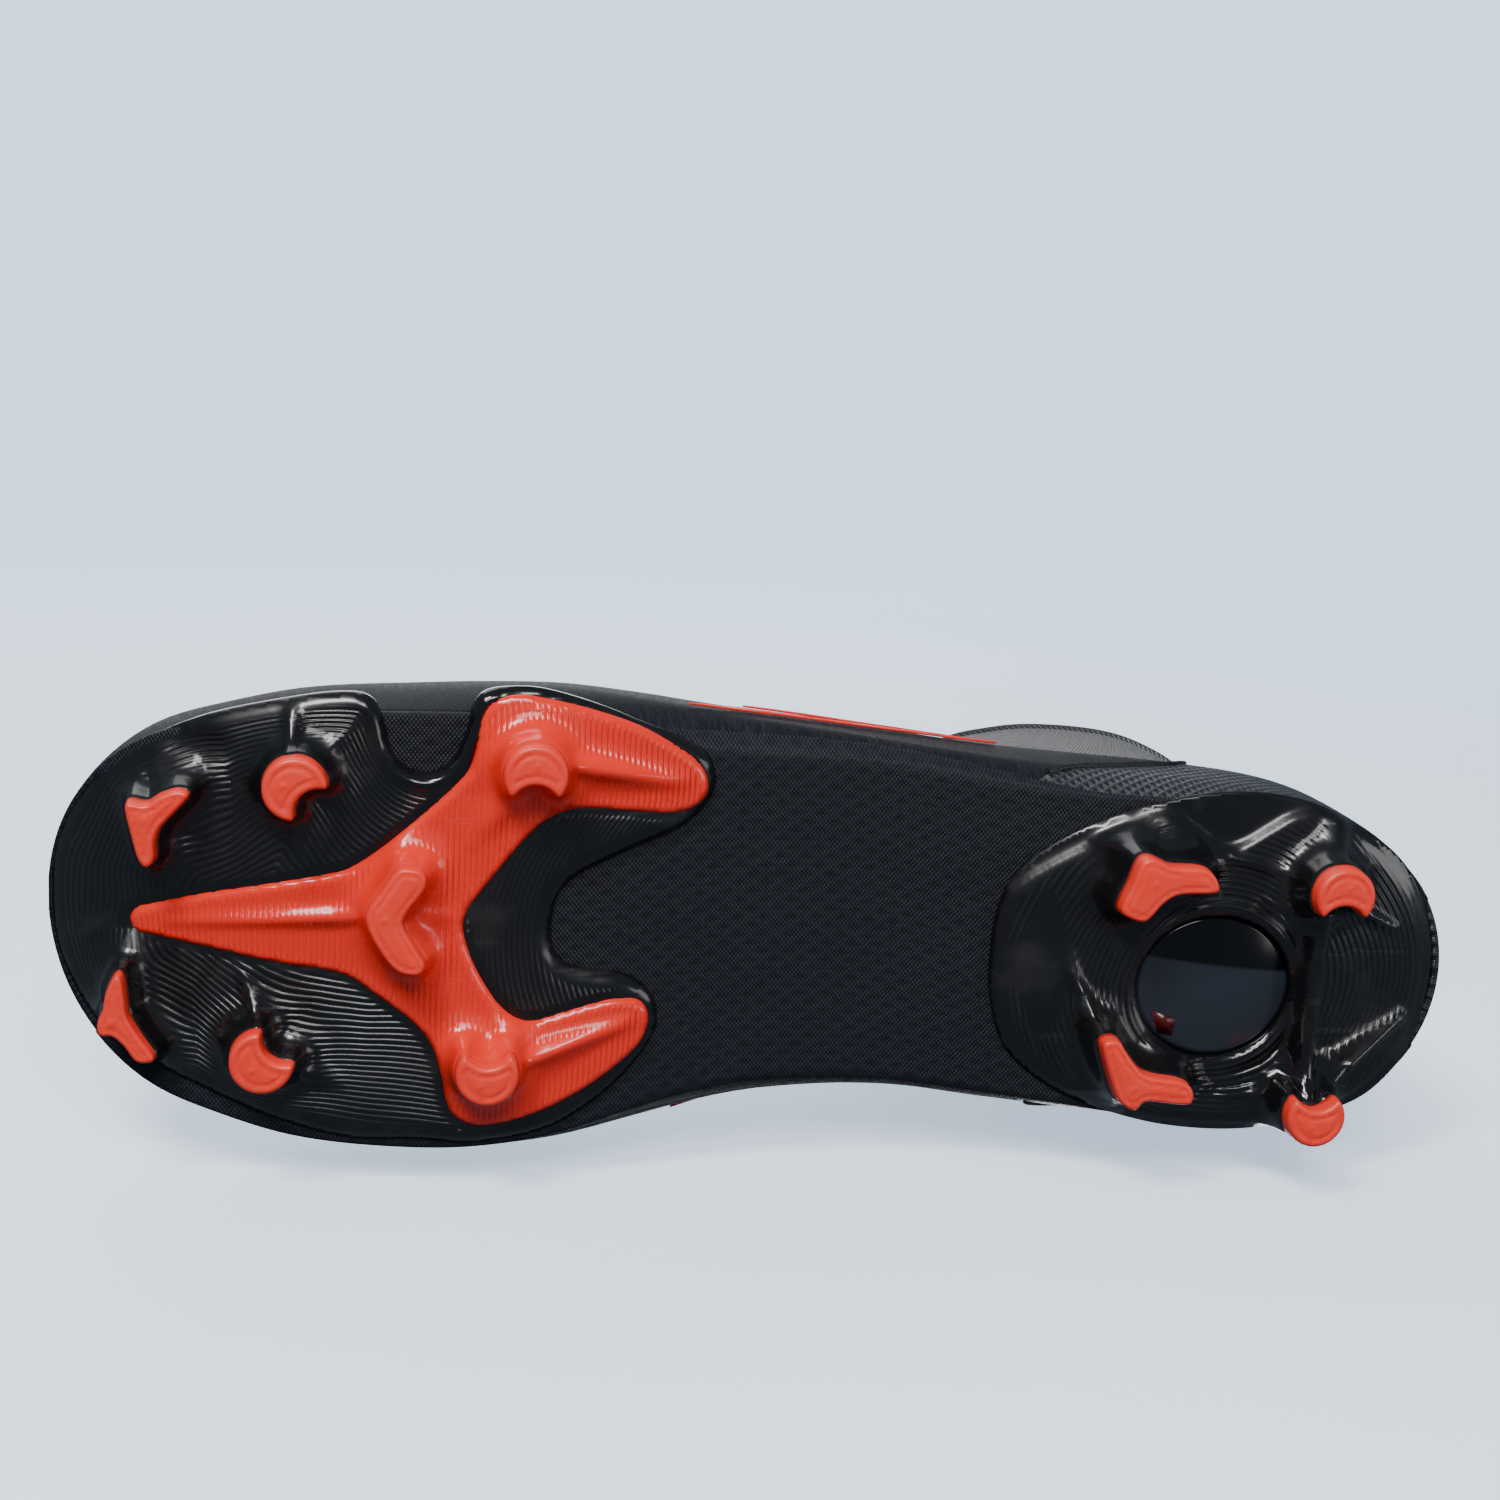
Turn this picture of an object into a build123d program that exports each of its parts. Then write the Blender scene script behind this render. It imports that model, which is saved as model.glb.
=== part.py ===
from build123d import *
import math
import os

# Left soccer cleat, standing upright: toe towards -X, heel towards +X, lateral side -Y, medial side +Y.
# Lengths are in millimetres. The ground is at Z = 0, under the studs.

# --- driving dimensions ---
TOE_X = -149.0
HEEL_X = 149.5
COLLAR_TOP = 144.0
WALL = 2.4              # thickness of the knitted upper
PLATE = 3.0             # thickness of the moulded plates
SKIN = 1.6              # thickness of the skin under the waist
BOARD = 1.8             # thickness of the lasting board
INSOLE = 4.0            # thickness of the insole
FILM = 0.8              # thickness of the trim bonded on the upper
LINER = 1.6             # thickness of stiffeners inside the upper
GAP = 0.3               # running gap between bodies
CHASSIS_INSET = 1.3     # depth of the red chassis in the forefoot plate
CHASSIS_PROUD = 0.5     # how far the chassis stands out of the plate
TIP = 4.0               # height of a stud's coloured tip
FLARE = 1.6             # how much wider a stud's mound is than its tip
HALF = 75.0             # half of the width that every region spans

# The forefoot bends about this line, level with the lasting board.
FLEX_X = -88.0
FLEX_Z = 17.0
FLEX_DEG = 25.0

# --- curves of the shoe: (place, value) ---
# height of the outsole's underside along the shoe
SOLE = [(-156, 28), (-138, 20.5), (-118, 15.5), (-93, 12.2), (-68, 11.5), (-38, 13), (-8, 17.5),
        (22, 20), (47, 18), (72, 14), (102, 13), (134, 16), (156, 20)]
# height of the ridge of the instep along the shoe, up to the front of the collar
RIDGE = [(-149, 30.5), (-147, 36), (-143, 41), (-137, 45.5), (-128, 49.5), (-115, 53), (-95, 57),
         (-75, 61.5), (-55, 67), (-35, 74), (-15, 83), (5, 94), (22, 107), (35, 121), (45, 136),
         (52, 152), (62, 190), (75, 260), (100, 500), (160, 900)]
# half width of the shoe before its ends are rounded
WIDTH = [(-149, 66), (-141, 63.5), (-129, 61), (-115, 57), (-99, 55), (-80, 52.5), (-62, 50.9),
         (-45, 49), (-30, 45.9), (-14, 42.4), (0, 40.2), (25, 38.1), (48, 38.5), (68, 39.9),
         (82, 41.6), (98, 44.3), (118, 49.2), (129, 51.3), (149, 57)]
# centre line of the shoe
CENTRE = [(-149, -2.5), (-129, -1.2), (-99, 0.5), (-70, 1.2), (-45, 0.5), (-20, -1), (0, -1.5),
          (25, -0.3), (48, 2.5), (68, 4.3), (82, 5.3), (98, 6.3), (118, 7.5), (149, 9)]
# back of the heel and how narrow the ankle is, both against height
BACK = [(8, 143), (18, 147), (30, 149.5), (45, 149), (60, 146), (80, 140), (100, 136), (125, 136), (152, 138)]
ANKLE = [(8, 1), (30, 1), (45, 1), (60, 0.93), (75, 0.84), (95, 0.76), (120, 0.76), (152, 0.78)]
WIDEST_Z = 30.0
LEVELS = [12, 18, 24, 30, 36, 41, 45, 49, 53, 57, 62, 69, 78, 89, 102, 117, 133, 152]
STATIONS = 12

# top line of the quarters, where the knitted collar starts
TOPLINE = [(-20, 120), (10, 112), (30, 100), (52, 84), (80, 74), (108, 74), (130, 82), (156, 92)]

# --- outlines in plan ---
FOREFOOT_OUTLINE = [
    (-148.5, -2), (-147.5, -13.5), (-142.5, -23.6), (-136.5, -31), (-127.5, -37), (-115.5, -42.7),
    (-98.5, -47), (-75, -49.2), (-61.5, -50), (-47.5, -49.3), (-30.5, -43.4), (-19, -38), (-15, -31),
    (-21, -22), (-30.5, -17.7), (-42.5, -11.8), (-47.5, -1.8), (-44, 6.9), (-34, 8.8), (-26, 14.3),
    (-25, 21), (-30.5, 30), (-38, 37), (-48, 42.6), (-62, 45.2), (-86, 44.3), (-96, 42.4),
    (-106, 39.3), (-116.5, 35), (-126.5, 31), (-138.5, 23), (-144.5, 15)]
CHASSIS_OUTLINE = [
    (-131.5, 0), (-127.5, -3.5), (-116.5, -6.5), (-103.5, -9.2), (-91.5, -11.8), (-80.5, -18.5),
    (-71, -27), (-65.5, -33), (-63, -43.8), (-57, -48.6), (-50.8, -48.2), (-41.5, -46.2), (-31.5, -42.8),
    (-23.5, -38.6), (-18.5, -35), (-16.9, -28.2), (-25.5, -25), (-43, -26), (-53, -20.3), (-59.2, -12.4),
    (-65.2, -2), (-61.8, 8.9), (-57.8, 14.9), (-50, 18.2), (-36.3, 14.7), (-28, 15.5), (-28.5, 23.8),
    (-40.2, 33.6), (-48, 37.7), (-62.2, 40.4), (-67.9, 35.3), (-71, 23.7), (-83.3, 12.5), (-92.5, 8.2),
    (-103.1, 6.9), (-116.5, 4.5), (-128, 3)]
HEEL_OUTLINE = [
    (47, -5), (50, -12), (56, -18), (65.5, -24), (79.5, -29.3), (96.5, -32), (113.5, -29.3),
    (129.5, -21.5), (139, -12), (143.8, 0), (144.5, 10), (142.5, 22), (137, 31), (127, 38), (107, 42.5),
    (87, 42), (70, 38), (58, 32.5), (50, 25), (46.5, 14), (46, 4)]
NOTCH_CENTRE = (-74, -49)
NOTCH_RADII = (8.5, 15)
WINDOW_CENTRE = (93.5, 10)
WINDOW_RADII = (17, 15.5)

# --- studs: (name, height of the tip, shape) ---
# a chevron is two arms that meet; a crescent is a disc with a round bite at an angle
STUD_ARM = 5.4
FRONT_ARM = 4.4
CRESCENT_R = 6.3
BITE_R = 4.6
BITE_SHIFT = 6.2
CHEVRONS = {
    "stud_front_lateral": ((-119.5, -27.5), (-128, -24.8), (-126.3, -15.5), 6.0, FRONT_ARM),
    "stud_front_medial": ((-132.6, 11), (-133.8, 19), (-127.2, 24.2), 7.0, FRONT_ARM),
    "stud_centre": ((-75.5, -12.5), (-81.3, -4.2), (-74.5, 4.6), 1.5, FRONT_ARM),
    "stud_heel_front_lateral": ((84.6, -16), (71.6, -17), (70.6, -10.4), 0.0, STUD_ARM),
    "stud_heel_front_medial": ((84, 29.6), (73.2, 29.4), (69, 21), 0.0, STUD_ARM),
}
CRESCENTS = {
    "stud_toe_lateral": ((-98.3, -30.7), 45, 2.0),
    "stud_toe_medial": ((-104.2, 24.8), -45, 2.5),
    "stud_ball_lateral": ((-52.1, -34.7), 90, 0.0),
    "stud_ball_medial": ((-59.9, 26.3), -90, 0.0),
    "stud_heel_rear_lateral": ((115.5, -13), 90, 0.0),
    "stud_heel_rear_medial": ((114, 35), -90, 0.0),
}
TOE_STUDS = ["stud_front_lateral", "stud_front_medial", "stud_toe_lateral", "stud_toe_medial"]
CHASSIS_STUDS = ["stud_centre", "stud_ball_lateral", "stud_ball_medial"]
HEEL_STUDS = ["stud_heel_front_lateral", "stud_heel_front_medial", "stud_heel_rear_lateral",
              "stud_heel_rear_medial"]

# --- lacing ---
THROAT_HALF = 13.0
THROAT_FRONT = -46.0
THROAT_BACK = 26.0
EYESTAY_HALF = 23.0
EYELET_Y = 18.0
EYELET_ROWS = [-40, -27, -14, -1, 12]
EYELET_R = 2.7
EYELET_HOLE_R = 1.7
LACE_R = 1.1
TONGUE_DEPTH = 3.4      # how far the tongue's outer face lies inside the upper's outer face
TONGUE = 1.6
TONGUE_HALF = 14.0
LACE_REACH = 1.5        # how far the lace rises clear of the eyelets, above and below
LACE_LIFT = 2.2         # height of a lace bar's middle over the upper's face

os.makedirs("parts", exist_ok=True)


# --- smooth curves through tables ---
def slope(table, i):
    before = table[max(i - 1, 0)]
    after = table[min(i + 1, len(table) - 1)]
    return (after[1] - before[1]) / (after[0] - before[0])


def curve(table, at):
    """Value of the smooth curve through a table's points."""
    i = 0
    while i < len(table) - 2 and table[i + 1][0] < at:
        i += 1
    start, end = table[i], table[i + 1]
    span = end[0] - start[0]
    t = (at - start[0]) / span
    rise = 3 * t**2 - 2 * t**3
    leave = (t**3 - 2 * t**2 + t) * span * slope(table, i)
    arrive = (t**3 - t**2) * span * slope(table, i + 1)
    return start[1] * (1 - rise) + end[1] * rise + leave + arrive


# --- the last: the outer form of the upper, at any inset ---
def half_width(x, z, inset):
    """Half width of the upper at one place, inset from its outer face."""
    back = curve(BACK, z) - inset
    middle = (TOE_X + HEEL_X) / 2
    reach = (HEEL_X - TOE_X) / 2 - inset
    if x > 40:
        x_plan = 40 + (x - 40) * (middle + reach - 40) / (back - 40)
    else:
        x_plan = x
    ends = max(1 - abs((x_plan - middle) / reach) ** 3, 0) ** 0.5
    width = (curve(WIDTH, x_plan) - inset) * ends
    ankle = min(max((x + 20) / 60, 0), 1)
    width *= 1 - ankle * (1 - curve(ANKLE, z))
    if z > WIDEST_Z:
        rise = (z - WIDEST_Z) / max(curve(RIDGE, x) - inset - WIDEST_Z, 0.01)
        return width * max(1 - rise**2.4, 0) ** 0.5
    drop = (WIDEST_Z - z) / 14
    waist = math.exp(-(((x - 15) / 45) ** 2))
    return width * (1 - (0.05 + 0.22 * waist) * drop**2)


def front_x(z, inset):
    """Front end of the upper at one height."""
    low = TOE_X + inset + 12 * (max(WIDEST_Z - z, 0) / 20) ** 2
    high = 80.0
    if z <= WIDEST_Z or curve(RIDGE, low) - inset >= z:
        return low
    while high - low > 0.01:
        middle = (low + high) / 2
        if curve(RIDGE, middle) - inset < z:
            low = middle
        else:
            high = middle
    return high


def section(z, inset):
    """Closed outline of the upper at one height, from the toe round by the lateral side."""
    front = front_x(z, inset)
    back = curve(BACK, z) - inset
    points = []
    for i in range(2 * STATIONS):
        turn = math.pi * i / STATIONS
        x = front + (back - front) * (1 - math.cos(turn)) / 2
        side = -1 if i < STATIONS else 1
        width = half_width(x, z, inset) if i % STATIONS else 0
        points.append((x, curve(CENTRE, x) + side * width))
    return points


def surface_z(x, off_centre):
    """Height of the upper's outer face at a distance from its centre line."""
    low = WIDEST_Z
    high = curve(RIDGE, x)
    while high - low > 0.01:
        middle = (low + high) / 2
        if half_width(x, middle, 0) > abs(off_centre):
            low = middle
        else:
            high = middle
    return high


def last(inset):
    """Solid form of the upper, inset from its outer face and a little taller for each inset."""
    levels = [LEVELS[0] - inset / 2, *LEVELS[1:-1], LEVELS[-1] + inset / 2]
    with BuildPart() as form:
        for level in levels:
            with BuildSketch(Plane.XY.offset(level)):
                with BuildLine():
                    Spline(*section(level, inset), periodic=True)
                make_face()
        loft()
    return form.part


# --- regions, as solids that span the whole shoe ---
def side_region(points):
    """Everything within a polygon seen from the side."""
    with BuildPart() as region:
        with BuildSketch(Plane.XZ):
            with BuildLine():
                Polyline(*points, close=True)
            make_face()
        extrude(amount=HALF, both=True)
    return region.part


def sole_layer(low, high):
    """Everything between two heights above the outsole's underside."""
    with BuildPart() as layer:
        with BuildSketch(Plane.XZ):
            with BuildLine():
                lower = Spline(*[(x, z + low) for x, z in SOLE])
                upper = Spline(*[(x, z + high) for x, z in reversed(SOLE)])
                Line(lower @ 1, upper @ 0)
                Line(upper @ 1, lower @ 0)
            make_face()
        extrude(amount=HALF, both=True)
    return layer.part


def plan_prism(points, low, high):
    """Vertical prism of a smooth closed outline."""
    with BuildPart() as prism:
        with BuildSketch(Plane.XY.offset(low)):
            with BuildLine():
                Spline(*points, periodic=True)
            make_face()
        extrude(amount=high - low)
    return prism.part


def box_region(x_range, y_range, z_range):
    """Axis-aligned box."""
    size = [high - low for low, high in (x_range, y_range, z_range)]
    centre = [(high + low) / 2 for low, high in (x_range, y_range, z_range)]
    with BuildPart(Plane(origin=centre)) as region:
        Box(*size)
    return region.part


def beside_centre(near, far, side, front, back):
    """Vertical prism that follows the centre line at a distance from it, on one side."""
    places = [front + (back - front) * i / 6 for i in range(7)]
    inner = [(x, curve(CENTRE, x) + side * near) for x in places]
    outer = [(x, curve(CENTRE, x) + side * far) for x in reversed(places)]
    with BuildPart() as prism:
        with BuildSketch(Plane.XY.offset(40)):
            with BuildLine():
                Polyline(*inner, *outer, close=True)
            make_face()
        extrude(amount=110)
    return prism.part


def wedge(lean, away):
    """Side region on one side of the flex line, leaning away from it above the board."""
    top = 150.0
    run = (top - FLEX_Z) * math.tan(math.radians(lean))
    end = 200 * away
    return side_region([(FLEX_X + away * GAP / 2, 0), (FLEX_X + away * GAP / 2, FLEX_Z),
                        (FLEX_X + away * (GAP / 2 + run), top), (end, top), (end, 0)])


def finish(part, name):
    """Label a piece and write it to its own file."""
    part.label = name
    export_step(part, f"parts/{name}.step")


# --- shared forms ---
last_outer = last(0)
last_lined = last(WALL)
last_film = last(-FILM)
last_inner = last(WALL + LINER)
last_padded = last(WALL + 2 * LINER)
last_tongue_outer = last(TONGUE_DEPTH)
last_tongue_inner = last(TONGUE_DEPTH + TONGUE)

plate_layer = sole_layer(0, PLATE)
above_plate = sole_layer(PLATE, 150)
above_insole = sole_layer(PLATE + SKIN + BOARD + INSOLE + GAP, 150)
toe_side = wedge(FLEX_DEG / 2 + 1.5, -1)
heel_side = wedge(FLEX_DEG / 2 + 1.5, 1)
below_topline = side_region([(-200, 0), (-200, 125), *TOPLINE, (200, 92), (200, 0)])
below_rim = side_region([(-200, 0), (-200, 134), (50, 134), (160, COLLAR_TOP + 2), (160, 0)])
throat = beside_centre(-THROAT_HALF, THROAT_HALF, 1, THROAT_FRONT, THROAT_BACK)

with BuildPart() as upper_shell:
    add(last_outer)
    add(last_lined, mode=Mode.SUBTRACT)
    add(above_plate, mode=Mode.INTERSECT)
    add(below_rim, mode=Mode.INTERSECT)
    add(throat, mode=Mode.SUBTRACT)


# --- eyelets and the holes they sit in ---
def eyelet_plane(row, side):
    """Plane on the upper's face at an eyelet, its Z axis pointing out of the upper."""
    x = row
    y = curve(CENTRE, x) + side * EYELET_Y
    z = surface_z(x, EYELET_Y)
    along = Vector(2, 0, surface_z(x + 1, EYELET_Y) - surface_z(x - 1, EYELET_Y))
    across = Vector(0, 2 * side, surface_z(x, EYELET_Y + 1) - surface_z(x, EYELET_Y - 1))
    out = across.cross(along) * -side
    return Plane(origin=(x, y, z), x_dir=along, z_dir=out)


eyelet_planes = [eyelet_plane(row, side) for row in EYELET_ROWS for side in (-1, 1)]

with BuildPart() as eyelet_holes:
    for plane in eyelet_planes:
        with BuildSketch(plane.offset(-WALL - 1)):
            Circle(EYELET_R)
        extrude(amount=WALL + FILM + 2)

with BuildPart() as eyelets:
    for plane in eyelet_planes:
        with BuildSketch(plane.offset(-WALL - 0.4)):
            Circle(EYELET_R)
            Circle(EYELET_HOLE_R, mode=Mode.SUBTRACT)
        extrude(amount=WALL + FILM + 0.9)
finish(eyelets.part, "eyelets")


# --- upper ---
def upper_piece(name, *regions, holes=False):
    """Piece of the upper that lies within every region given."""
    with BuildPart() as piece:
        add(upper_shell.part)
        for region in regions:
            add(region, mode=Mode.INTERSECT)
        if holes:
            add(eyelet_holes.part, mode=Mode.SUBTRACT)
    finish(piece.part, name)


def lined_piece(name, outer, inner, *regions):
    """Piece between two insets of the last that lies within every region given."""
    with BuildPart() as piece:
        add(outer)
        add(inner, mode=Mode.SUBTRACT)
        for region in regions:
            add(region, mode=Mode.INTERSECT)
    finish(piece.part, name)


QUARTER_FRONT = -46.0
HEEL_FRONT = 88.0
behind_vamp = box_region((QUARTER_FRONT, 200), (-HALF, HALF), (0, 200))
before_quarter = box_region((-200, QUARTER_FRONT), (-HALF, HALF), (0, 200))
before_heel = box_region((-200, HEEL_FRONT), (-HALF, HALF), (0, 200))
heel_zone = box_region((HEEL_FRONT, 200), (-HALF, HALF), (0, 200))
lateral_half = box_region((-200, 200), (-HALF, 0), (0, 200))
medial_half = box_region((-200, 200), (0, HALF), (0, 200))
above_topline = side_region([(-40, 150), (-40, 123), *TOPLINE, (200, 92), (200, 150)])

with BuildPart() as flex_zone:
    Box(400, 2 * HALF, 300)
    add(toe_side, mode=Mode.SUBTRACT)
    add(heel_side, mode=Mode.SUBTRACT)
    add(box_region((-200, 200), (-HALF, HALF), (-150, FLEX_Z + 0.3)), mode=Mode.SUBTRACT)

upper_piece("toe_box", toe_side)
upper_piece("vamp_flex_panel", flex_zone.part)
upper_piece("vamp", heel_side, before_quarter, below_topline)
upper_piece("quarter_lateral", behind_vamp, before_heel, lateral_half, below_topline, holes=True)
upper_piece("quarter_medial", behind_vamp, before_heel, medial_half, below_topline, holes=True)
upper_piece("heel_quarter", heel_zone, below_topline)
upper_piece("ankle_collar", above_topline)

toe_puff_zone = box_region((-200, -116), (-HALF, HALF), (0, 200))
counter_zone = side_region([(66, 0), (84, 56), (100, 62), (200, 62), (200, 0)])
padding_zone = side_region([(44, 84), (80, 68), (108, 67), (130, 75), (170, 90), (170, 112), (100, 100), (44, 106)])
lined_piece("toe_puff", last_lined, last_inner, toe_puff_zone, above_insole)
lined_piece("heel_counter", last_lined, last_inner, counter_zone, above_insole)
lined_piece("collar_padding", last_lined, last_padded, padding_zone)

tongue_zone = beside_centre(-TONGUE_HALF, TONGUE_HALF, 1, THROAT_FRONT - 8, THROAT_BACK + 6)
lined_piece("tongue", last_tongue_outer, last_tongue_inner, tongue_zone)

for side, name in ((-1, "lateral"), (1, "medial")):
    with BuildPart() as eyestay:
        add(last_film)
        add(last_outer, mode=Mode.SUBTRACT)
        add(beside_centre(THROAT_HALF, EYESTAY_HALF, side, THROAT_FRONT, THROAT_BACK), mode=Mode.INTERSECT)
        add(eyelet_holes.part, mode=Mode.SUBTRACT)
    finish(eyestay.part, f"eyestay_{name}")

STRIPES = {
    "upper": [(-7, 40.5), (-1, 43.5), (50, 46), (50, 45)],
    "lower": [(-20, 29), (-8, 36), (50, 43.5), (50, 42.5)],
}
for name, points in STRIPES.items():
    stripe_zone = side_region(points)
    for side, half in (("lateral", lateral_half), ("medial", medial_half)):
        lined_piece(f"stripe_{name}_{side}", last_film, last_outer, stripe_zone, half)


# --- lace: straight bars over the tongue, joined under the eyestays ---
def lace_point(x, off_centre, lift):
    """Point above or below the upper's face, by its place along and across the throat."""
    return (x, curve(CENTRE, x) + off_centre, surface_z(x, off_centre) + lift)


LACE_OVER = FILM + 0.5 + LACE_R + LACE_REACH
LACE_UNDER = -WALL - LACE_R - LACE_REACH
lace_route = []
for i, row in enumerate(EYELET_ROWS):
    start = EYELET_Y if i % 2 else -EYELET_Y
    plane = eyelet_planes[2 * i + i % 2]
    other = eyelet_planes[2 * i + 1 - i % 2]
    lace_route.append((plane * Pos(0, 0, LACE_UNDER)).position)
    lace_route.append((plane * Pos(0, 0, LACE_OVER)).position)
    lace_route.append(lace_point(row, start * 0.45, LACE_LIFT))
    lace_route.append(lace_point(row, -start * 0.45, LACE_LIFT))
    lace_route.append((other * Pos(0, 0, LACE_OVER)).position)
    lace_route.append((other * Pos(0, 0, LACE_UNDER)).position)

with BuildPart() as lace:
    with BuildLine() as lace_path:
        FilletPolyline(*lace_route, radius=1.5)
    with BuildSketch(Plane(origin=lace_path.line @ 0, z_dir=lace_path.line % 0)):
        Circle(LACE_R)
    sweep()
finish(lace.part, "lace")
lace_length = sum(edge.length for edge in lace_path.edges())
print("lace length", round(lace_length, 1), "volume ratio",
      round(lace.part.volume / (math.pi * LACE_R**2 * lace_length), 3))

# --- inside the shoe ---
with BuildPart() as lasting_board:
    add(last_lined)
    add(sole_layer(PLATE + SKIN, PLATE + SKIN + BOARD), mode=Mode.INTERSECT)
finish(lasting_board.part, "lasting_board")

with BuildPart() as insole:
    add(last(WALL + 0.4))
    add(sole_layer(PLATE + SKIN + BOARD, PLATE + SKIN + BOARD + INSOLE), mode=Mode.INTERSECT)
finish(insole.part, "insole")

with BuildPart() as midfoot_skin:
    add(last_lined)
    add(sole_layer(PLATE, PLATE + SKIN), mode=Mode.INTERSECT)
    add(box_region((-62, 74), (-HALF, HALF), (0, 60)), mode=Mode.INTERSECT)
finish(midfoot_skin.part, "midfoot_skin")


# --- studs ---
def arm_face(start, end, width):
    """Round-ended arm of a chevron, in the sketch in progress."""
    run = math.dist(start, end)
    angle = math.degrees(math.atan2(end[1] - start[1], end[0] - start[0]))
    with Locations(((start[0] + end[0]) / 2, (start[1] + end[1]) / 2)):
        SlotCenterToCenter(run, width, rotation=angle)


def stud_sketch(name, height, grow):
    """Outline of a stud at a height, grown all round."""
    with BuildSketch(Plane.XY.offset(height)) as outline:
        if name in CHEVRONS:
            first, corner, last_end, tip_z, width = CHEVRONS[name]
            arm_face(first, corner, width + 2 * grow)
            arm_face(corner, last_end, width + 2 * grow)
        else:
            centre, bite_angle, tip_z = CRESCENTS[name]
            bite = math.radians(bite_angle)
            with Locations(centre):
                Circle(CRESCENT_R + grow)
            with Locations((centre[0] + BITE_SHIFT * math.cos(bite), centre[1] + BITE_SHIFT * math.sin(bite))):
                Circle(BITE_R - grow, mode=Mode.SUBTRACT)
    return outline.sketch


def tip_height(name):
    return CHEVRONS[name][3] if name in CHEVRONS else CRESCENTS[name][2]


def stud_place(name):
    return CHEVRONS[name][1] if name in CHEVRONS else CRESCENTS[name][0]


def mounds(names, top):
    """Moulded mounds under the coloured tips, up to a height above the outsole's underside."""
    with BuildPart() as group:
        for name in names:
            foot = tip_height(name) + TIP
            middle = foot + (curve(SOLE, stud_place(name)[0]) - foot) * 0.55
            extrude(to_extrude=stud_sketch(name, foot, 0), amount=20)
            extrude(to_extrude=stud_sketch(name, middle, FLARE), amount=20)
        add(sole_layer(-20, top), mode=Mode.INTERSECT)
    return group.part


for name in [*CHEVRONS, *CRESCENTS]:
    with BuildPart() as stud_tip:
        extrude(to_extrude=stud_sketch(name, tip_height(name), 0), amount=TIP)
        ends = stud_tip.faces().sort_by(Axis.Z)[0]
        chamfer(ends.edges(), length=0.5)
    finish(stud_tip.part, name)

# --- forefoot plate and its red chassis, both split at the flex line ---
chassis_prism = plan_prism(CHASSIS_OUTLINE, 0, 60)
with BuildPart() as chassis:
    add(chassis_prism)
    add(sole_layer(-CHASSIS_PROUD, CHASSIS_INSET), mode=Mode.INTERSECT)
    add(mounds(CHASSIS_STUDS, CHASSIS_INSET))

with BuildPart() as forefoot:
    add(plan_prism(FOREFOOT_OUTLINE, 0, 60))
    add(plate_layer, mode=Mode.INTERSECT)
    with BuildSketch():
        with Locations(NOTCH_CENTRE):
            Ellipse(*NOTCH_RADII)
    extrude(amount=60, mode=Mode.SUBTRACT)
    add(mounds(TOE_STUDS, PLATE))
    add(chassis.part, mode=Mode.SUBTRACT)

for name, whole, region in (("toe_plate", forefoot, toe_side), ("forefoot_plate", forefoot, heel_side),
                            ("chassis_spine", chassis, toe_side), ("chassis_fork", chassis, heel_side)):
    with BuildPart() as half_plate:
        add(whole.part)
        add(region, mode=Mode.INTERSECT)
    finish(half_plate.part, name)

# --- heel plate, with its window and the bar between the rear studs ---
with BuildSketch() as window_outline:
    with Locations(WINDOW_CENTRE):
        Ellipse(*WINDOW_RADII)

BAR_X = (111, 117)
BAR_Y = (-8, 31)
BAR_Z = 8.0
with BuildPart() as heel_plate:
    add(plan_prism(HEEL_OUTLINE, 0, 60))
    add(plate_layer, mode=Mode.INTERSECT)
    add(mounds(HEEL_STUDS, PLATE))
    add(box_region(BAR_X, BAR_Y, (BAR_Z, 15)))
    extrude(to_extrude=window_outline.sketch, amount=60, mode=Mode.SUBTRACT)
finish(heel_plate.part, "heel_plate")

with BuildPart() as heel_window:
    extrude(to_extrude=window_outline.sketch, amount=60)
    add(sole_layer(PLATE - 2.2, PLATE), mode=Mode.INTERSECT)
finish(heel_window.part, "heel_window")

# --- pull tab at the back of the collar ---
TAB_WIDTH = 14.0
TAB_THICK = 1.6
TAB_LOW = 112.0
TAB_TOP = 143.0
TAB_X = curve(BACK, TAB_LOW) + 1.2
TAB_Y = curve(CENTRE, 136)
with BuildPart(Plane(origin=(TAB_X, TAB_Y, TAB_LOW))) as pull_tab:
    Box(TAB_THICK, TAB_WIDTH, TAB_TOP - TAB_LOW, align=(Align.MIN, Align.CENTER, Align.MIN))
    fillet(pull_tab.edges().filter_by(Axis.X).group_by(Axis.Z)[-1], radius=3)
finish(pull_tab.part, "pull_tab")

with BuildPart(Plane(origin=(TAB_X, TAB_Y, TAB_LOW - 14))) as tab_anchor:
    Box(TAB_THICK, TAB_WIDTH, 14 - GAP, align=(Align.MIN, Align.CENTER, Align.MIN))
    add(last_outer, mode=Mode.SUBTRACT)
finish(tab_anchor.part, "tab_anchor")
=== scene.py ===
import math

import bpy
import numpy as np
from mathutils import Matrix, Vector
from mathutils.geometry import delaunay_2d_cdt


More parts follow.
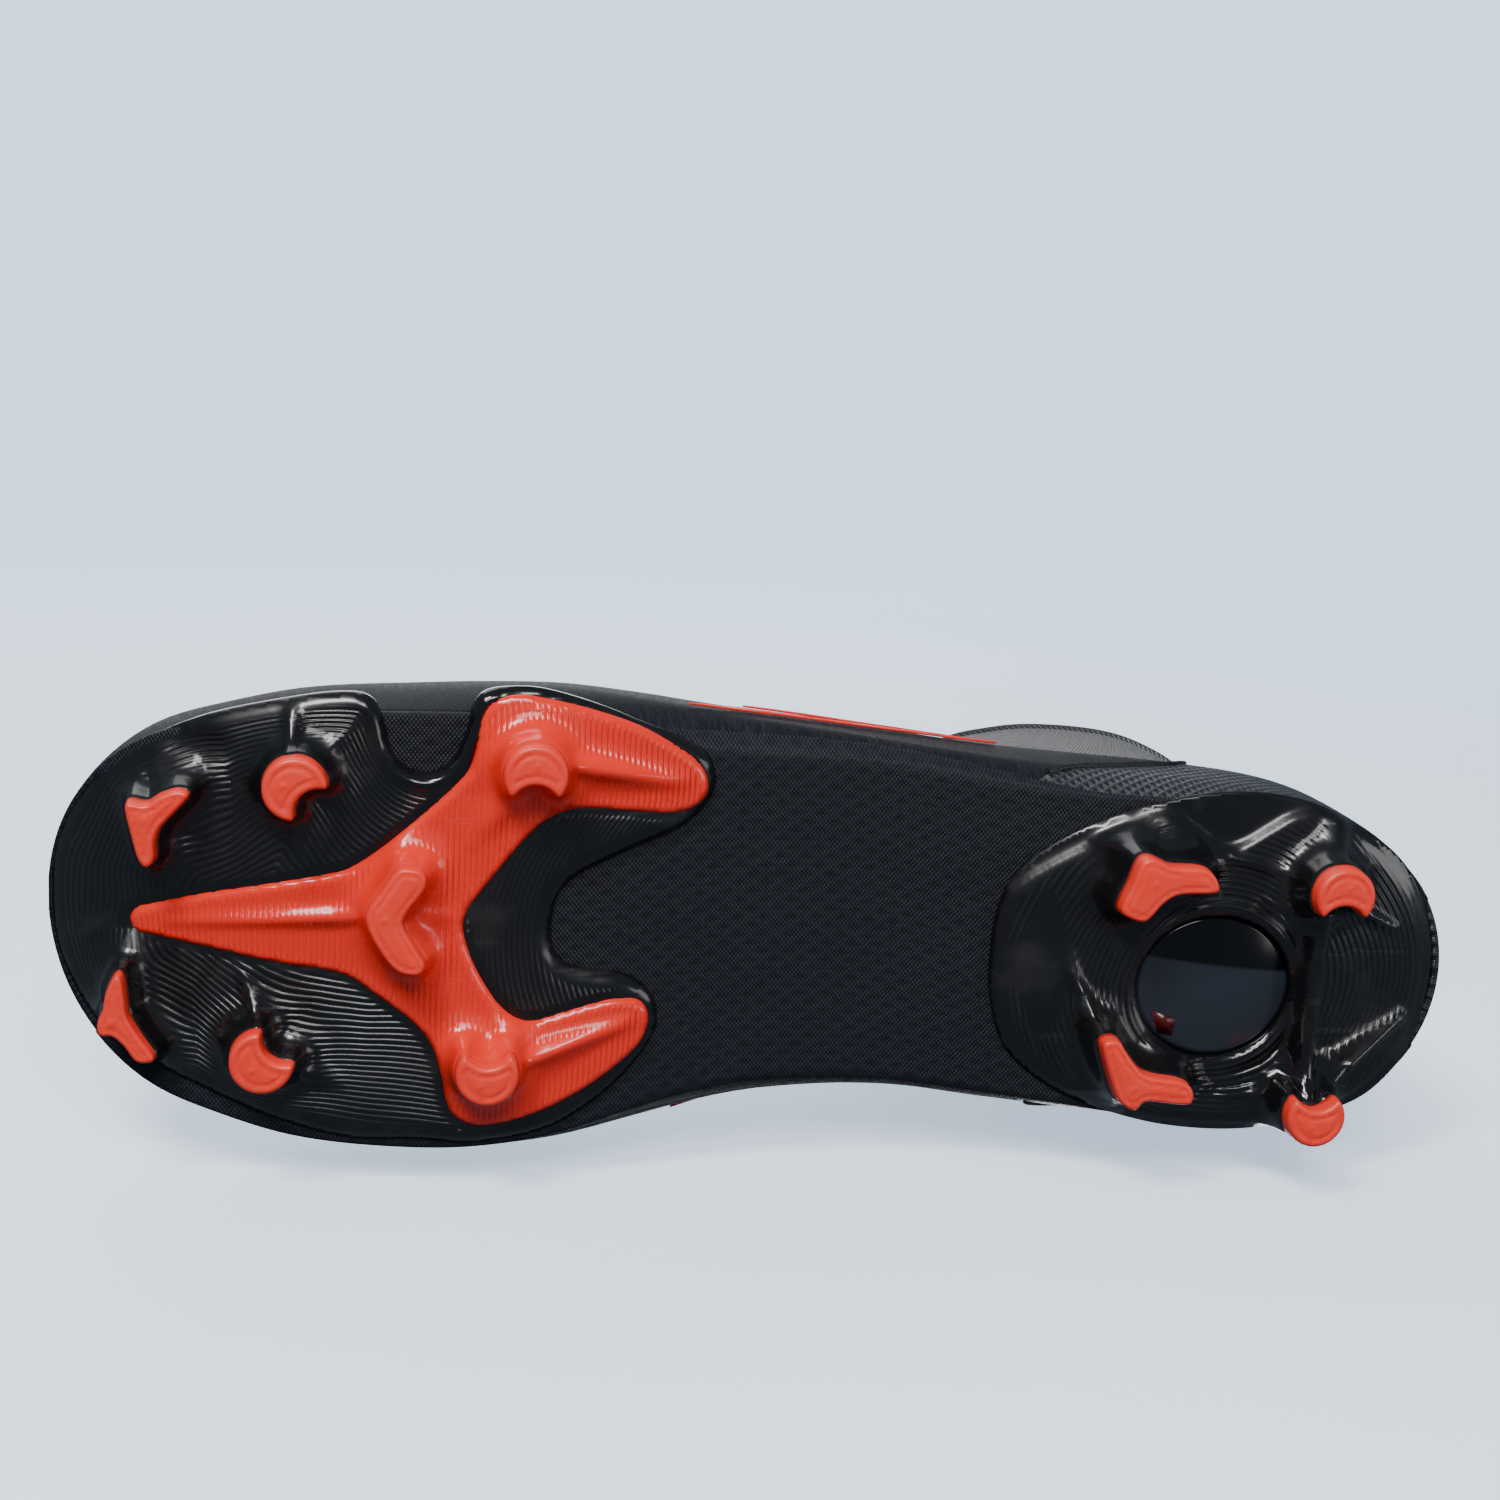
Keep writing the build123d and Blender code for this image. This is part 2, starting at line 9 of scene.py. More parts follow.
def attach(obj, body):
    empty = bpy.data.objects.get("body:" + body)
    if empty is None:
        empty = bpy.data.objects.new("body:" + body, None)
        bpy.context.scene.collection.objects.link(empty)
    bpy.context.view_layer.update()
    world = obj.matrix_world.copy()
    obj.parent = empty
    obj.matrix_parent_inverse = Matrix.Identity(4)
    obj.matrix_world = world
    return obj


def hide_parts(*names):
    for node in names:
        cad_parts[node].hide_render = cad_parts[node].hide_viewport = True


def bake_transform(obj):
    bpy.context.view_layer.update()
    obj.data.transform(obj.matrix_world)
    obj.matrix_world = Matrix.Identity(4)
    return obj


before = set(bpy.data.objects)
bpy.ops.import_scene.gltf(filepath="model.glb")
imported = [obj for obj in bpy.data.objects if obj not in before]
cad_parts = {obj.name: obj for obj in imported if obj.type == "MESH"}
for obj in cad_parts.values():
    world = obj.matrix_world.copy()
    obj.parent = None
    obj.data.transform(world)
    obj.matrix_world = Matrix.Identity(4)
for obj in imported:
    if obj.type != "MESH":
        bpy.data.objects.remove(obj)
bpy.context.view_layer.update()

# The shapes below are worked out in millimetres, in the frame of the CAD model.
MM = 0.001
TOE_X = -149.0
HEEL_X = 149.5
PLATE = 3.0
SKIN = 1.6
BOARD = 1.8
INSOLE = 4.0
KNIT = 1.9
COLLAR = 2.1
LINING = 1.4
LINING_INSET = 2.6
FILM = 0.7
STRIPE_FILM = 0.4
WIDEST_Z = 30.0

# --- curves of the shoe: (place, value) ---
SOLE = [(-156, 28), (-138, 20.5), (-118, 15.5), (-93, 12.2), (-68, 11.5), (-38, 13), (-8, 17.5),
        (22, 20), (47, 18), (72, 14), (102, 13), (134, 16), (156, 20)]
RIDGE = [(-149, 30.5), (-147, 36), (-143, 41), (-137, 45.5), (-128, 49.5), (-115, 53), (-95, 57),
         (-75, 61.5), (-55, 67), (-35, 74), (-15, 83), (5, 94), (22, 107), (35, 121), (45, 136),
         (52, 152), (62, 190), (75, 260), (100, 500), (160, 900)]
WIDTH = [(-149, 66), (-141, 63.5), (-129, 61), (-115, 57), (-99, 55), (-80, 52.5), (-62, 50.9),
         (-45, 49), (-30, 45.9), (-14, 42.4), (0, 40.2), (25, 38.1), (48, 38.5), (68, 39.9),
         (82, 41.6), (98, 44.3), (118, 49.2), (129, 51.3), (149, 57)]
CENTRE = [(-149, -2.5), (-129, -1.2), (-99, 0.5), (-70, 1.2), (-45, 0.5), (-20, -1), (0, -1.5),
          (25, -0.3), (48, 2.5), (68, 4.3), (82, 5.3), (98, 6.3), (118, 7.5), (149, 9)]
BACK = [(8, 143), (18, 147), (30, 149.5), (45, 149), (60, 146), (80, 140), (100, 136), (125, 136),
        (152, 138)]
ANKLE = [(8, 1), (30, 1), (45, 1), (60, 0.93), (75, 0.84), (95, 0.76), (120, 0.76), (152, 0.78)]
TOPLINE = [(-40, 123), (-20, 120), (10, 112), (30, 100), (52, 84), (80, 74), (108, 74), (130, 82),
           (156, 92)]
RIM = [(-40, 133.5), (50, 133.5), (160, 145.5)]

# --- outlines in plan ---
FOREFOOT_OUTLINE = [
    (-148.5, -2), (-147.5, -13.5), (-142.5, -23.6), (-136.5, -31), (-127.5, -37), (-115.5, -42.7),
    (-98.5, -47), (-89, -48.3), (-84.5, -47.4), (-82.3, -44), (-80.3, -37), (-76.5, -33.2), (-72, -32.8),
    (-68.3, -35.7), (-65.6, -41.7), (-64.6, -46.5), (-61.5, -49.6), (-54, -50.3), (-47.5, -49.3),
    (-38.5, -46.6), (-30.5, -43.4), (-22.5, -40.4), (-17, -37), (-15, -33), (-15.5, -28), (-21, -22),
    (-30.5, -17.7), (-37.5, -14.5), (-42.5, -11.8), (-46.3, -7.8), (-47.6, -1.8), (-47, 3.6), (-44, 6.9),
    (-39, 8.3), (-34, 8.8), (-29.5, 10.7), (-26, 14.3), (-25, 18.4), (-25.5, 22.5), (-30.5, 30),
    (-38, 37), (-48, 42.6), (-62, 45.2), (-74, 44.4), (-86, 44.3), (-96, 42.4), (-106, 39.3),
    (-116.5, 35), (-126.5, 31), (-138.5, 23), (-144.5, 15), (-147.6, 7)]
CHASSIS_OUTLINE = [
    (-131.5, 0), (-130.3, -2.4), (-127.5, -3.5), (-116.5, -6.5), (-103.5, -9.2), (-91.5, -11.8), (-87, -13.6),
    (-80.5, -18.5), (-71, -27), (-65.5, -33), (-63.8, -37.7), (-63, -43.8), (-60.5, -47.4), (-56, -48.9),
    (-50.8, -48.4), (-41.5, -46.4), (-31.5, -43.1), (-23.5, -38.8), (-18.7, -35.3), (-16.6, -31.5),
    (-17, -28.2), (-20.3, -25.6), (-25.5, -24.9), (-34, -25.6), (-43, -26), (-48.5, -24.2), (-53, -20.3),
    (-59.2, -12.4), (-64, -5.8), (-65.4, -1.8), (-64.4, 3), (-61.8, 8.9), (-57.8, 14.9), (-54, 17.9),
    (-50, 18.4), (-44.2, 16.7), (-36.3, 14.5), (-31, 14.1), (-28, 15.5), (-26.9, 19), (-28.5, 23.8),
    (-33.1, 28.4), (-40.2, 33.6), (-48, 37.7), (-55.8, 40.3), (-62.2, 40.8), (-66.2, 38.8), (-67.9, 35.3),
    (-69, 29.8), (-71, 23.7), (-75.2, 18.6), (-83.3, 12.5), (-87.3, 9.7), (-92.5, 8.2), (-103.1, 6.9),
    (-116.5, 4.5), (-127, 2.8), (-130.3, 2.2)]
HEEL_OUTLINE = [
    (47, -5), (50, -12), (56, -18), (65.5, -24), (79.5, -29.3), (96.5, -32), (113.5, -29.6),
    (129.5, -21.5), (139, -12), (143.8, 0), (144.5, 10), (142.5, 22), (137, 31), (127, 38), (107, 42.5),
    (87, 42), (70, 38), (58, 32.5), (50, 25), (46.5, 14), (46, 4)]
HEEL_FACE = [
    (47.5, -4), (51.5, -10.5), (63, -18.5), (74.5, -24.6), (79.5, -26.6), (83, -25.5), (86.5, -22.6),
    (90.5, -19.8), (94.5, -19.6), (98.5, -21), (103.5, -24.2), (108.5, -27), (114, -27.6), (120, -25.6),
    (129, -19.5), (137, -10.5), (141, 0), (141.8, 10), (140, 21), (134.5, 29.4), (125, 36), (107, 40.3),
    (87, 40), (71, 36.5), (59.5, 31.5), (51.5, 24.5), (48, 14), (47, 4)]
WINDOW_CENTRE = (93.5, 10)
WINDOW_RADII = (17, 15.5)
LENS_EDGE = 0.9
LENS_DISH = 1.7

# --- studs: outline, height of the tip and flare of the mound ---
CHEVRONS = {
    "stud_front_lateral": (6.0, [
        (-130.5, -24.8), (-130, -26.6), (-126.7, -26.2), (-123.9, -28), (-120.6, -29.2), (-118.7, -28.2),
        (-121.7, -24.5), (-124.2, -21.6), (-125.2, -18.7), (-125.3, -15.3), (-126.7, -13.8), (-128.1, -15.3),
        (-129.2, -19.1)]),
    "stud_front_medial": (7.0, [
        (-132.9, 8.8), (-131.7, 9.1), (-131, 13.5), (-130.5, 17), (-128.3, 20.9), (-125.5, 24.9), (-126, 26.2),
        (-128.8, 26), (-131.1, 22.9), (-133.4, 20.9), (-135.7, 20.7), (-136.2, 18.5), (-135.2, 16),
        (-134.6, 12.5)]),
    "stud_centre": (1.5, [
        (-76, -15.6), (-78.5, -15), (-81.5, -10.5), (-84, -6.5), (-83.8, -3.1), (-81, 2), (-77.9, 5.4),
        (-74, 6), (-72.7, 4.1), (-74.1, 1.5), (-77, -3.6), (-76.4, -6.6), (-73, -11.6), (-73.4, -14.6)]),
    "stud_heel_front_lateral": (0.0, [
        (71.1, -19.6), (73, -20.7), (75.8, -19.7), (77.9, -18.9), (84, -18.7), (86.7, -17.3), (88, -14.5),
        (86.5, -13.6), (79.8, -13.2), (76.5, -11.4), (73.8, -8.2), (71.8, -7.4), (68, -9), (68.1, -11.5),
        (69.5, -14.9)]),
    "stud_heel_front_medial": (0.0, [
        (66.3, 19.6), (67.6, 18.1), (69.7, 18.4), (71.2, 20.5), (74.4, 24.5), (77.2, 26), (84.2, 27.1),
        (86.5, 29.5), (85.7, 31.9), (80.5, 31.6), (76.3, 31.3), (74.1, 33.2), (70.8, 31.3), (68.4, 26.1)]),
}
CRESCENTS = {
    "stud_toe_lateral": ((-98.3, -30.7), 45, 2.0),
    "stud_toe_medial": ((-104.2, 24.8), -45, 2.5),
    "stud_ball_lateral": ((-52.1, -34.7), 90, 0.0),
    "stud_ball_medial": ((-59.9, 26.3), -90, 0.0),
    "stud_heel_rear_lateral": ((115.5, -13), 90, 0.0),
    "stud_heel_rear_medial": ((114, 35), -90, 0.0),
}
CRESCENT_R = 6.3
BITE_R = 5.0
BITE_SHIFT = 6.6
TIP = 4.2
TOE_STUDS = ["stud_front_lateral", "stud_front_medial", "stud_toe_lateral", "stud_toe_medial"]
CHASSIS_STUDS = ["stud_centre", "stud_ball_lateral", "stud_ball_medial"]
HEEL_STUDS = ["stud_heel_front_lateral", "stud_heel_front_medial", "stud_heel_rear_lateral",
              "stud_heel_rear_medial"]

# --- lacing ---
THROAT_HALF = 13.0
THROAT_FRONT = -46.0
THROAT_BACK = 26.0
EYESTAY_HALF = 23.0
EYELET_Y = 18.0
EYELET_ROWS = [-40, -27, -14, -1, 12]


# --- smooth curves ---
def curve(table, at):
    """Values of the smooth curve through a table's points."""
    xs = np.array([p[0] for p in table], float)
    ys = np.array([p[1] for p in table], float)
    at = np.asarray(at, float)
    before = np.maximum(np.arange(len(xs)) - 1, 0)
    after = np.minimum(np.arange(len(xs)) + 1, len(xs) - 1)
    slopes = (ys[after] - ys[before]) / (xs[after] - xs[before])
    i = np.clip(np.searchsorted(xs, at, side="left") - 1, 0, len(xs) - 2)
    span = xs[i + 1] - xs[i]
    t = (at - xs[i]) / span
    rise = 3 * t**2 - 2 * t**3
    leave = (t**3 - 2 * t**2 + t) * span * slopes[i]
    arrive = (t**3 - t**2) * span * slopes[i + 1]
    return ys[i] * (1 - rise) + ys[i + 1] * rise + leave + arrive


def arc_between(a, b, c, d, count):
    """Points of the smooth curve from b to c, with a before them and d after."""
    t = np.linspace(0, 1, count, endpoint=False)[:, None]
    return 0.5 * (2 * b + (c - a) * t + (2 * a - 5 * b + 4 * c - d) * t**2 + (3 * b - a - 3 * c + d) * t**3)


def loop(points, step=0.9):
    """Smooth closed curve through points, as evenly spaced points."""
    p = np.array(points, float)
    n = len(p)
    dense = np.vstack([arc_between(p[i - 1], p[i], p[(i + 1) % n], p[(i + 2) % n], 12) for i in range(n)])
    return resample(np.vstack([dense, dense[:1]]), step)[:-1]


def resample(points, step):
    """Open line of points, evenly spaced along the given one."""
    lengths = np.linalg.norm(np.diff(points, axis=0), axis=1)
    along = np.concatenate([[0], np.cumsum(lengths)])
    count = max(int(round(along[-1] / step)), 3)
    places = np.linspace(0, along[-1], count + 1)
    return np.column_stack([np.interp(places, along, points[:, k]) for k in range(points.shape[1])])


def signed_distance(points, polygon):
    """Distance to a closed polygon, negative inside it."""
    start = polygon
    end = np.roll(polygon, -1, axis=0)
    result = np.empty(len(points))
    for first in range(0, len(points), 4000):
        p = points[first:first + 4000, None, :]
        edge = end - start
        t = np.clip(((p - start) * edge).sum(2) / (edge**2).sum(1), 0, 1)
        near = np.sqrt((((p - start) - t[:, :, None] * edge)**2).sum(2)).min(1)
        crosses = (start[:, 1] > p[:, :, 1]) != (end[:, 1] > p[:, :, 1])
        rise = np.where(np.abs(edge[:, 1]) < 1e-9, 1e-9, edge[:, 1])
        left = p[:, :, 0] < start[:, 0] + (p[:, :, 1] - start[:, 1]) * edge[:, 0] / rise
        inside = (crosses & left).sum(1) % 2 == 1
        result[first:first + 4000] = np.where(inside, -near, near)
    return result


def segment_distance(points, start, end):
    """Distance to a straight segment, and how far along it the nearest point is."""
    start, end = np.array(start, float), np.array(end, float)
    edge = end - start
    t = np.clip(((points - start) @ edge) / (edge @ edge), 0, 1)
    return np.linalg.norm(points - start - t[:, None] * edge, axis=1), t


def smooth(t):
    """Smooth step from 0 to 1."""
    t = np.clip(t, 0, 1)
    return t * t * (3 - 2 * t)


# --- the last: the outer form of the upper, at any inset ---
def half_width(x, z, inset):
    """Half the upper's width at a place along the shoe and a height."""
    back = curve(BACK, z) - inset
    middle = (TOE_X + HEEL_X) / 2
    reach = (HEEL_X - TOE_X) / 2 - inset
    x_plan = np.where(x > 40, 40 + (x - 40) * (middle + reach - 40) / (back - 40), x)
    ends = np.maximum(1 - np.abs((x_plan - middle) / reach)**3, 0)**0.5
    width = (curve(WIDTH, np.clip(x_plan, TOE_X, HEEL_X)) - inset) * ends
    ankle = smooth((x + 20) / 60)
    width = width * (1 - ankle * (1 - curve(ANKLE, z)))
    rise = np.maximum(z - WIDEST_Z, 0) / np.maximum(curve(RIDGE, x) - inset - WIDEST_Z, 0.01)
    drop = np.maximum(WIDEST_Z - z, 0) / 14
    waist = np.exp(-((x - 15) / 45)**2)
    under = 1 - (0.05 + 0.28 * waist) * drop**1.8
    return width * np.maximum(1 - rise**2.4, 0)**0.5 * under


def front_x(z, inset):
    """Place of the upper's front at a height: the toe, or the ridge of the instep."""
    low = TOE_X + inset + 12 * (np.maximum(WIDEST_Z - z, 0) / 20)**2
    start = low.copy()
    high = np.full_like(low, 80.0)
    for _ in range(26):
        middle = (low + high) / 2
        under = curve(RIDGE, middle) - inset < z
        low = np.where(under, middle, low)
        high = np.where(under, high, middle)
    return np.where((z <= WIDEST_Z) | (curve(RIDGE, start) - inset >= z), start, high)


def last_point(turn, z, inset):
    """Point of the upper's form, by its turn round the shoe from the toe and its height."""
    front = front_x(z, inset)
    back = curve(BACK, z) - inset
    x = front + (back - front) * (1 - np.cos(turn)) / 2
    side = -np.sign(np.sin(turn))
    y = curve(CENTRE, x) + side * half_width(x, z, inset)
    return x, y


def surface_z(x, off_centre, inset=0.0):
    """Height of the upper's face at a distance from its centre line."""
    low = np.full_like(np.asarray(x, float), WIDEST_Z)
    high = curve(RIDGE, x)
    for _ in range(24):
        middle = (low + high) / 2
        wide = half_width(x, middle, inset) > np.abs(off_centre)
        low = np.where(wide, middle, low)
        high = np.where(wide, high, middle)
    return high


# --- meshes ---
def make_mesh(name, points, faces, attributes=None):
    """Smooth-shaded mesh object from points in millimetres, with named vertex attributes."""
    mesh = bpy.data.meshes.new(name)
    mesh.from_pydata((np.asarray(points, float) * MM).tolist(), [], [list(f) for f in faces])
    mesh.update()
    for key, values in (attributes or {}).items():
        values = np.asarray(values, np.float32)
        kind = "FLOAT" if values.ndim == 1 else "FLOAT_VECTOR"
        layer = mesh.attributes.new(key, kind, "POINT")
        layer.data.foreach_set("value" if values.ndim == 1 else "vector", values.ravel())
    for polygon in mesh.polygons:
        polygon.use_smooth = True
    piece = bpy.data.objects.new(name, mesh)
    bpy.context.scene.collection.objects.link(piece)
    return piece


def bake(piece):
    """Apply a piece's modifiers."""
    graph = bpy.context.evaluated_depsgraph_get()
    mesh = bpy.data.meshes.new_from_object(piece.evaluated_get(graph))
    piece.modifiers.clear()
    piece.data = mesh
    return piece


def solidify(piece, thickness, bevel=0.0):
    """Give a sheet its thickness, inwards."""
    layer = piece.modifiers.new("thickness", "SOLIDIFY")
    layer.thickness = thickness * MM
    layer.offset = -1.0
    if bevel:
        edge = piece.modifiers.new("edge", "BEVEL")
        edge.width = bevel * MM
        edge.segments = 2
        edge.limit_method = "ANGLE"
        edge.angle_limit = math.radians(50)
    return bake(piece)


def clip(points, faces, value, data):
    """Keep the part of a mesh where the value is positive, cut cleanly along its zero line."""
    points = [tuple(p) for p in points]
    value = list(value)
    data = [tuple(d) for d in data]
    made = {}

    def crossing(a, b):
        key = (min(a, b), max(a, b))
        if key not in made:
            t = value[a] / (value[a] - value[b])
            points.append(tuple(p + (q - p) * t for p, q in zip(points[a], points[b])))
            data.append(tuple(p + (q - p) * t for p, q in zip(data[a], data[b])))
            value.append(0.0)
            made[key] = len(points) - 1
        return made[key]

    kept = []
    for face in faces:
        signs = [value[i] > 0 for i in face]
        if all(signs):
            kept.append(tuple(face))
            continue
        if not any(signs):
            continue
        cut = []
        for k, i in enumerate(face):
            j = face[(k + 1) % len(face)]
            if value[i] > 0:
                cut.append(i)
            if (value[i] > 0) != (value[j] > 0):
                cut.append(crossing(i, j))
        if len(cut) > 2:
            kept.append(tuple(cut))
    used = sorted({i for face in kept for i in face})
    place = {old: new for new, old in enumerate(used)}
    return (np.array([points[i] for i in used]), [tuple(place[i] for i in face) for face in kept],
            np.array([data[i] for i in used]))


def tube(name, paths, radius, flat=1.0, sides=10, up=(0, 0, 1)):
    """Round or flat cords along lines of points in millimetres."""
    points, faces, along_all = [], [], []
    for path in paths:
        path = np.asarray(path, float)
        tangent = np.gradient(path, axis=0)
        tangent /= np.linalg.norm(tangent, axis=1)[:, None]
        side = np.cross(tangent, np.array(up, float))
        side /= np.maximum(np.linalg.norm(side, axis=1)[:, None], 1e-6)
        out = np.cross(side, tangent)
        along = np.concatenate([[0], np.cumsum(np.linalg.norm(np.diff(path, axis=0), axis=1))])
        base = len(points)
        for i, centre in enumerate(path):
            ends = min(i, len(path) - 1 - i)
            scale = radius * (0.55 if ends == 0 and len(path) > 3 else 1.0)
            for k in range(sides):
                a = 2 * math.pi * k / sides
                points.append(centre + scale * (math.cos(a) * side[i] + flat * math.sin(a) * out[i]))
                along_all.append((k / sides * 2 * math.pi * radius, along[i], 0))
        for i in range(len(path) - 1):
            for k in range(sides):
                a, b = base + i * sides + k, base + i * sides + (k + 1) % sides
                faces.append((a, b, b + sides, a + sides))
        faces.append(tuple(base + k for k in reversed(range(sides))))
        faces.append(tuple(base + (len(path) - 1) * sides + k for k in range(sides)))
    return make_mesh(name, points, faces, {"flow": along_all})


# --- studs and moulded plates ---
def stud_shape(name):
    """Height of a stud's tip above the ground, and its outline."""
    if name in CHEVRONS:
        return CHEVRONS[name][0], loop(CHEVRONS[name][1], 0.6)
    centre, bite_degrees, tip_z = CRESCENTS[name]
    opening = math.acos((CRESCENT_R**2 + BITE_SHIFT**2 - BITE_R**2) / (2 * CRESCENT_R * BITE_SHIFT))
    inner = math.atan2(CRESCENT_R * math.sin(opening), CRESCENT_R * math.cos(opening) - BITE_SHIFT)
    outside = np.linspace(opening, 2 * math.pi - opening, 40)
    inside = np.linspace(2 * math.pi - inner, inner, 16)[1:-1]
    arc = np.column_stack([CRESCENT_R * np.cos(outside), CRESCENT_R * np.sin(outside)])
    bite = np.column_stack([BITE_SHIFT + BITE_R * np.cos(inside), BITE_R * np.sin(inside)])
    outline = resample(np.vstack([arc, bite, arc[:1]]), 0.6)[:-1]
    for _ in range(3):
        outline = (np.roll(outline, 1, 0) + 2 * outline + np.roll(outline, -1, 0)) / 4
    turn = math.radians(bite_degrees)
    spin = np.array([[math.cos(turn), math.sin(turn)], [-math.sin(turn), math.cos(turn)]])
    return tip_z, outline @ spin + np.array(centre)


STUDS = {name: stud_shape(name) for name in [*CHEVRONS, *CRESCENTS]}


def outward(outline):
    """Unit normals of a closed outline, pointing out of it."""
    tangent = np.roll(outline, -1, 0) - np.roll(outline, 1, 0)
    normal = np.column_stack([tangent[:, 1], -tangent[:, 0]]) / np.linalg.norm(tangent, axis=1)[:, None]
    area = np.sum(outline[:, 0] * np.roll(outline[:, 1], -1) - np.roll(outline[:, 0], -1) * outline[:, 1])
    return normal if area > 0 else -normal


def grown(outline, amount):
    """Points at a distance outside a closed outline, without those where it folds over itself."""
    moved = outline + outward(outline) * amount
    return moved[np.abs(signed_distance(moved, outline) - amount) < 0.08]


def mound(distance, height):
    """Height of a moulded mound at a distance outside its stud's outline."""
    d = np.maximum(distance, 0)
    return height * (0.5 * np.exp(-(d / 1.25)**2) + 0.5 * np.exp(-(d / 3.1)**1.7))


def ridge(points, start, end, height_start, height_end, width):
    """Height of a tapering fin."""
    distance, along = segment_distance(points, start, end)
    height = height_start + (height_end - height_start) * along
    spread = width * (1.25 - 0.45 * along)
    return height * np.exp(-(distance / spread)**2.2)


def joined(parts):
    """Smooth union of reliefs."""
    return sum(np.maximum(p, 0)**3 for p in parts)**(1 / 3)


def triangulate(outline, holes, loose):
    """Triangles that fill an outline, with the holes left open."""
    edges, base = [], 0
    for ring in (outline, *holes):
        edges += [(base + i, base + (i + 1) % len(ring)) for i in range(len(ring))]
        base += len(ring)
    given = np.vstack([outline, *holes, loose]).tolist()
    made = delaunay_2d_cdt([Vector(p) for p in given], edges, [], 0, 1e-6)
    verts = np.array([tuple(v) for v in made[0]])
    faces = np.array([tuple(f) for f in made[2]])
    centres = verts[faces].mean(1)
    keep = signed_distance(centres, outline) < 0
    for hole in holes:
        keep &= signed_distance(centres, hole) > 0
    faces = faces[keep]
    used = np.unique(faces)
    place = np.full(len(verts), -1)
    place[used] = np.arange(len(used))
    faces, verts = place[faces], verts[used]
    a, b, c = verts[faces.T]
    turn = (b[:, 0] - a[:, 0]) * (c[:, 1] - a[:, 1]) - (b[:, 1] - a[:, 1]) * (c[:, 0] - a[:, 0])
    faces[turn < 0] = faces[turn < 0][:, ::-1]
    return verts, faces


def boundary(faces):
    """Edges used by one face only, in that face's direction."""
    seen = {(face[k], face[(k + 1) % 3]): None for face in faces.tolist() for k in range(3)}
    return [(a, b) for a, b in seen if (b, a) not in seen]


# Rings of points round each stud, by their distance from its outline, and the zone kept for them.
STUD_RINGS = (-0.5, 0.25, 0.75, 1.3, 2.0, 2.8, 3.8, 5.0, 6.4)
STUD_ZONE = 6.8


def moulded(name, outline, holes, studs, height_of, mask_of, spacing, back_of):
    """Closed moulded piece whose lower face is a height field."""
    low, high = outline.min(0), outline.max(0)
    grid_x, grid_y = np.meshgrid(np.arange(low[0], high[0], spacing),
                                 np.arange(low[1], high[1], spacing * 0.87))
    grid_x = grid_x + (np.arange(len(grid_x)) % 2)[:, None] * spacing / 2
    loose = np.column_stack([grid_x.ravel(), grid_y.ravel()])
    clear = signed_distance(loose, outline) < -0.55 * spacing
    for hole in holes:
        clear &= signed_distance(loose, hole) > 0.55 * spacing
    for stud in studs:
        distance = signed_distance(loose, STUDS[stud][1])
        clear &= (distance > STUD_ZONE) | (distance < -1.0)
    loose = [loose[clear]]
    for stud in studs:
        for amount in STUD_RINGS:
            ring = grown(STUDS[stud][1], amount)
            keep = signed_distance(ring, outline) < -0.5
            for hole in holes:
                keep &= signed_distance(ring, hole) > 0.5
            for other in studs:
                if other != stud:
                    keep &= signed_distance(ring, STUDS[other][1]) > STUD_ZONE
            loose.append(ring[keep])
    verts, faces = triangulate(outline, holes, np.vstack(loose))
    bottom = height_of(verts)
    top = back_of(verts, bottom)
    count = len(verts)
    points = np.vstack([np.column_stack([verts, bottom]), np.column_stack([verts, top])])
    sides = [(a, b, b + count, a + count) for a, b in boundary(faces)]
    phase, mask = mask_of(verts)
    both = [tuple(f[::-1]) for f in faces.tolist()] + [tuple(i + count for i in f) for f in faces.tolist()]
    return make_mesh(name, points, both + sides,
                     {"phase": np.concatenate([phase, phase]), "grain": np.concatenate([mask, mask * 0])})


FOREFOOT = loop(FOREFOOT_OUTLINE)
CHASSIS = loop(CHASSIS_OUTLINE)
HEEL = loop(HEEL_OUTLINE)
HEEL_BASE = loop(HEEL_FACE)
turns = np.linspace(0, 2 * math.pi, 110, endpoint=False)
WINDOW = np.column_stack([WINDOW_CENTRE[0] + WINDOW_RADII[0] * np.cos(turns),
                          WINDOW_CENTRE[1] + WINDOW_RADII[1] * np.sin(turns)])

FOREFOOT_FINS = [
    ((-99.5, -36.5), (-99.5, -44), 5.5, 0.8, 1.6), ((-94, -36), (-88, -41), 3.0, 0.5, 2.2),
    ((-99, -25), (-97.5, -16.5), 3.4, 0.3, 1.1), ((-105.5, 18.5), (-109, 9), 4.4, 0.3, 1.2),
    ((-98, 29), (-90, 31.5), 3.0, 0.4, 1.8), ((-119, -29), (-112, -33), 4.0, 0.4, 1.5),
    ((-129.5, -26), (-132, -30.5), 4.0, 0.5, 1.8), ((-133, 9.5), (-131.5, 1.5), 4.6, 0.3, 1.7),
    ((-127, 26), (-121, 31.5), 3.5, 0.4, 1.8)]
CHASSIS_FINS = [
    ((-47, -36), (-22, -31.5), 5.0, 0.5, 2.2), ((-57, -29.5), (-63, -20), 2.2, 0.3, 2.8),
    ((-54, 26.5), (-31, 18.8), 4.4, 0.5, 2.0), ((-83, -4), (-124, -0.5), 2.2, 0.3, 1.5),
    ((-78, -14.5), (-76.5, -21), 2.0, 0.2, 2.6), ((-76, 6.5), (-71, 12), 2.0, 0.2, 2.4),
    ((-75, -4.5), (-68.5, -3.5), 2.0, 0.3, 2.2)]
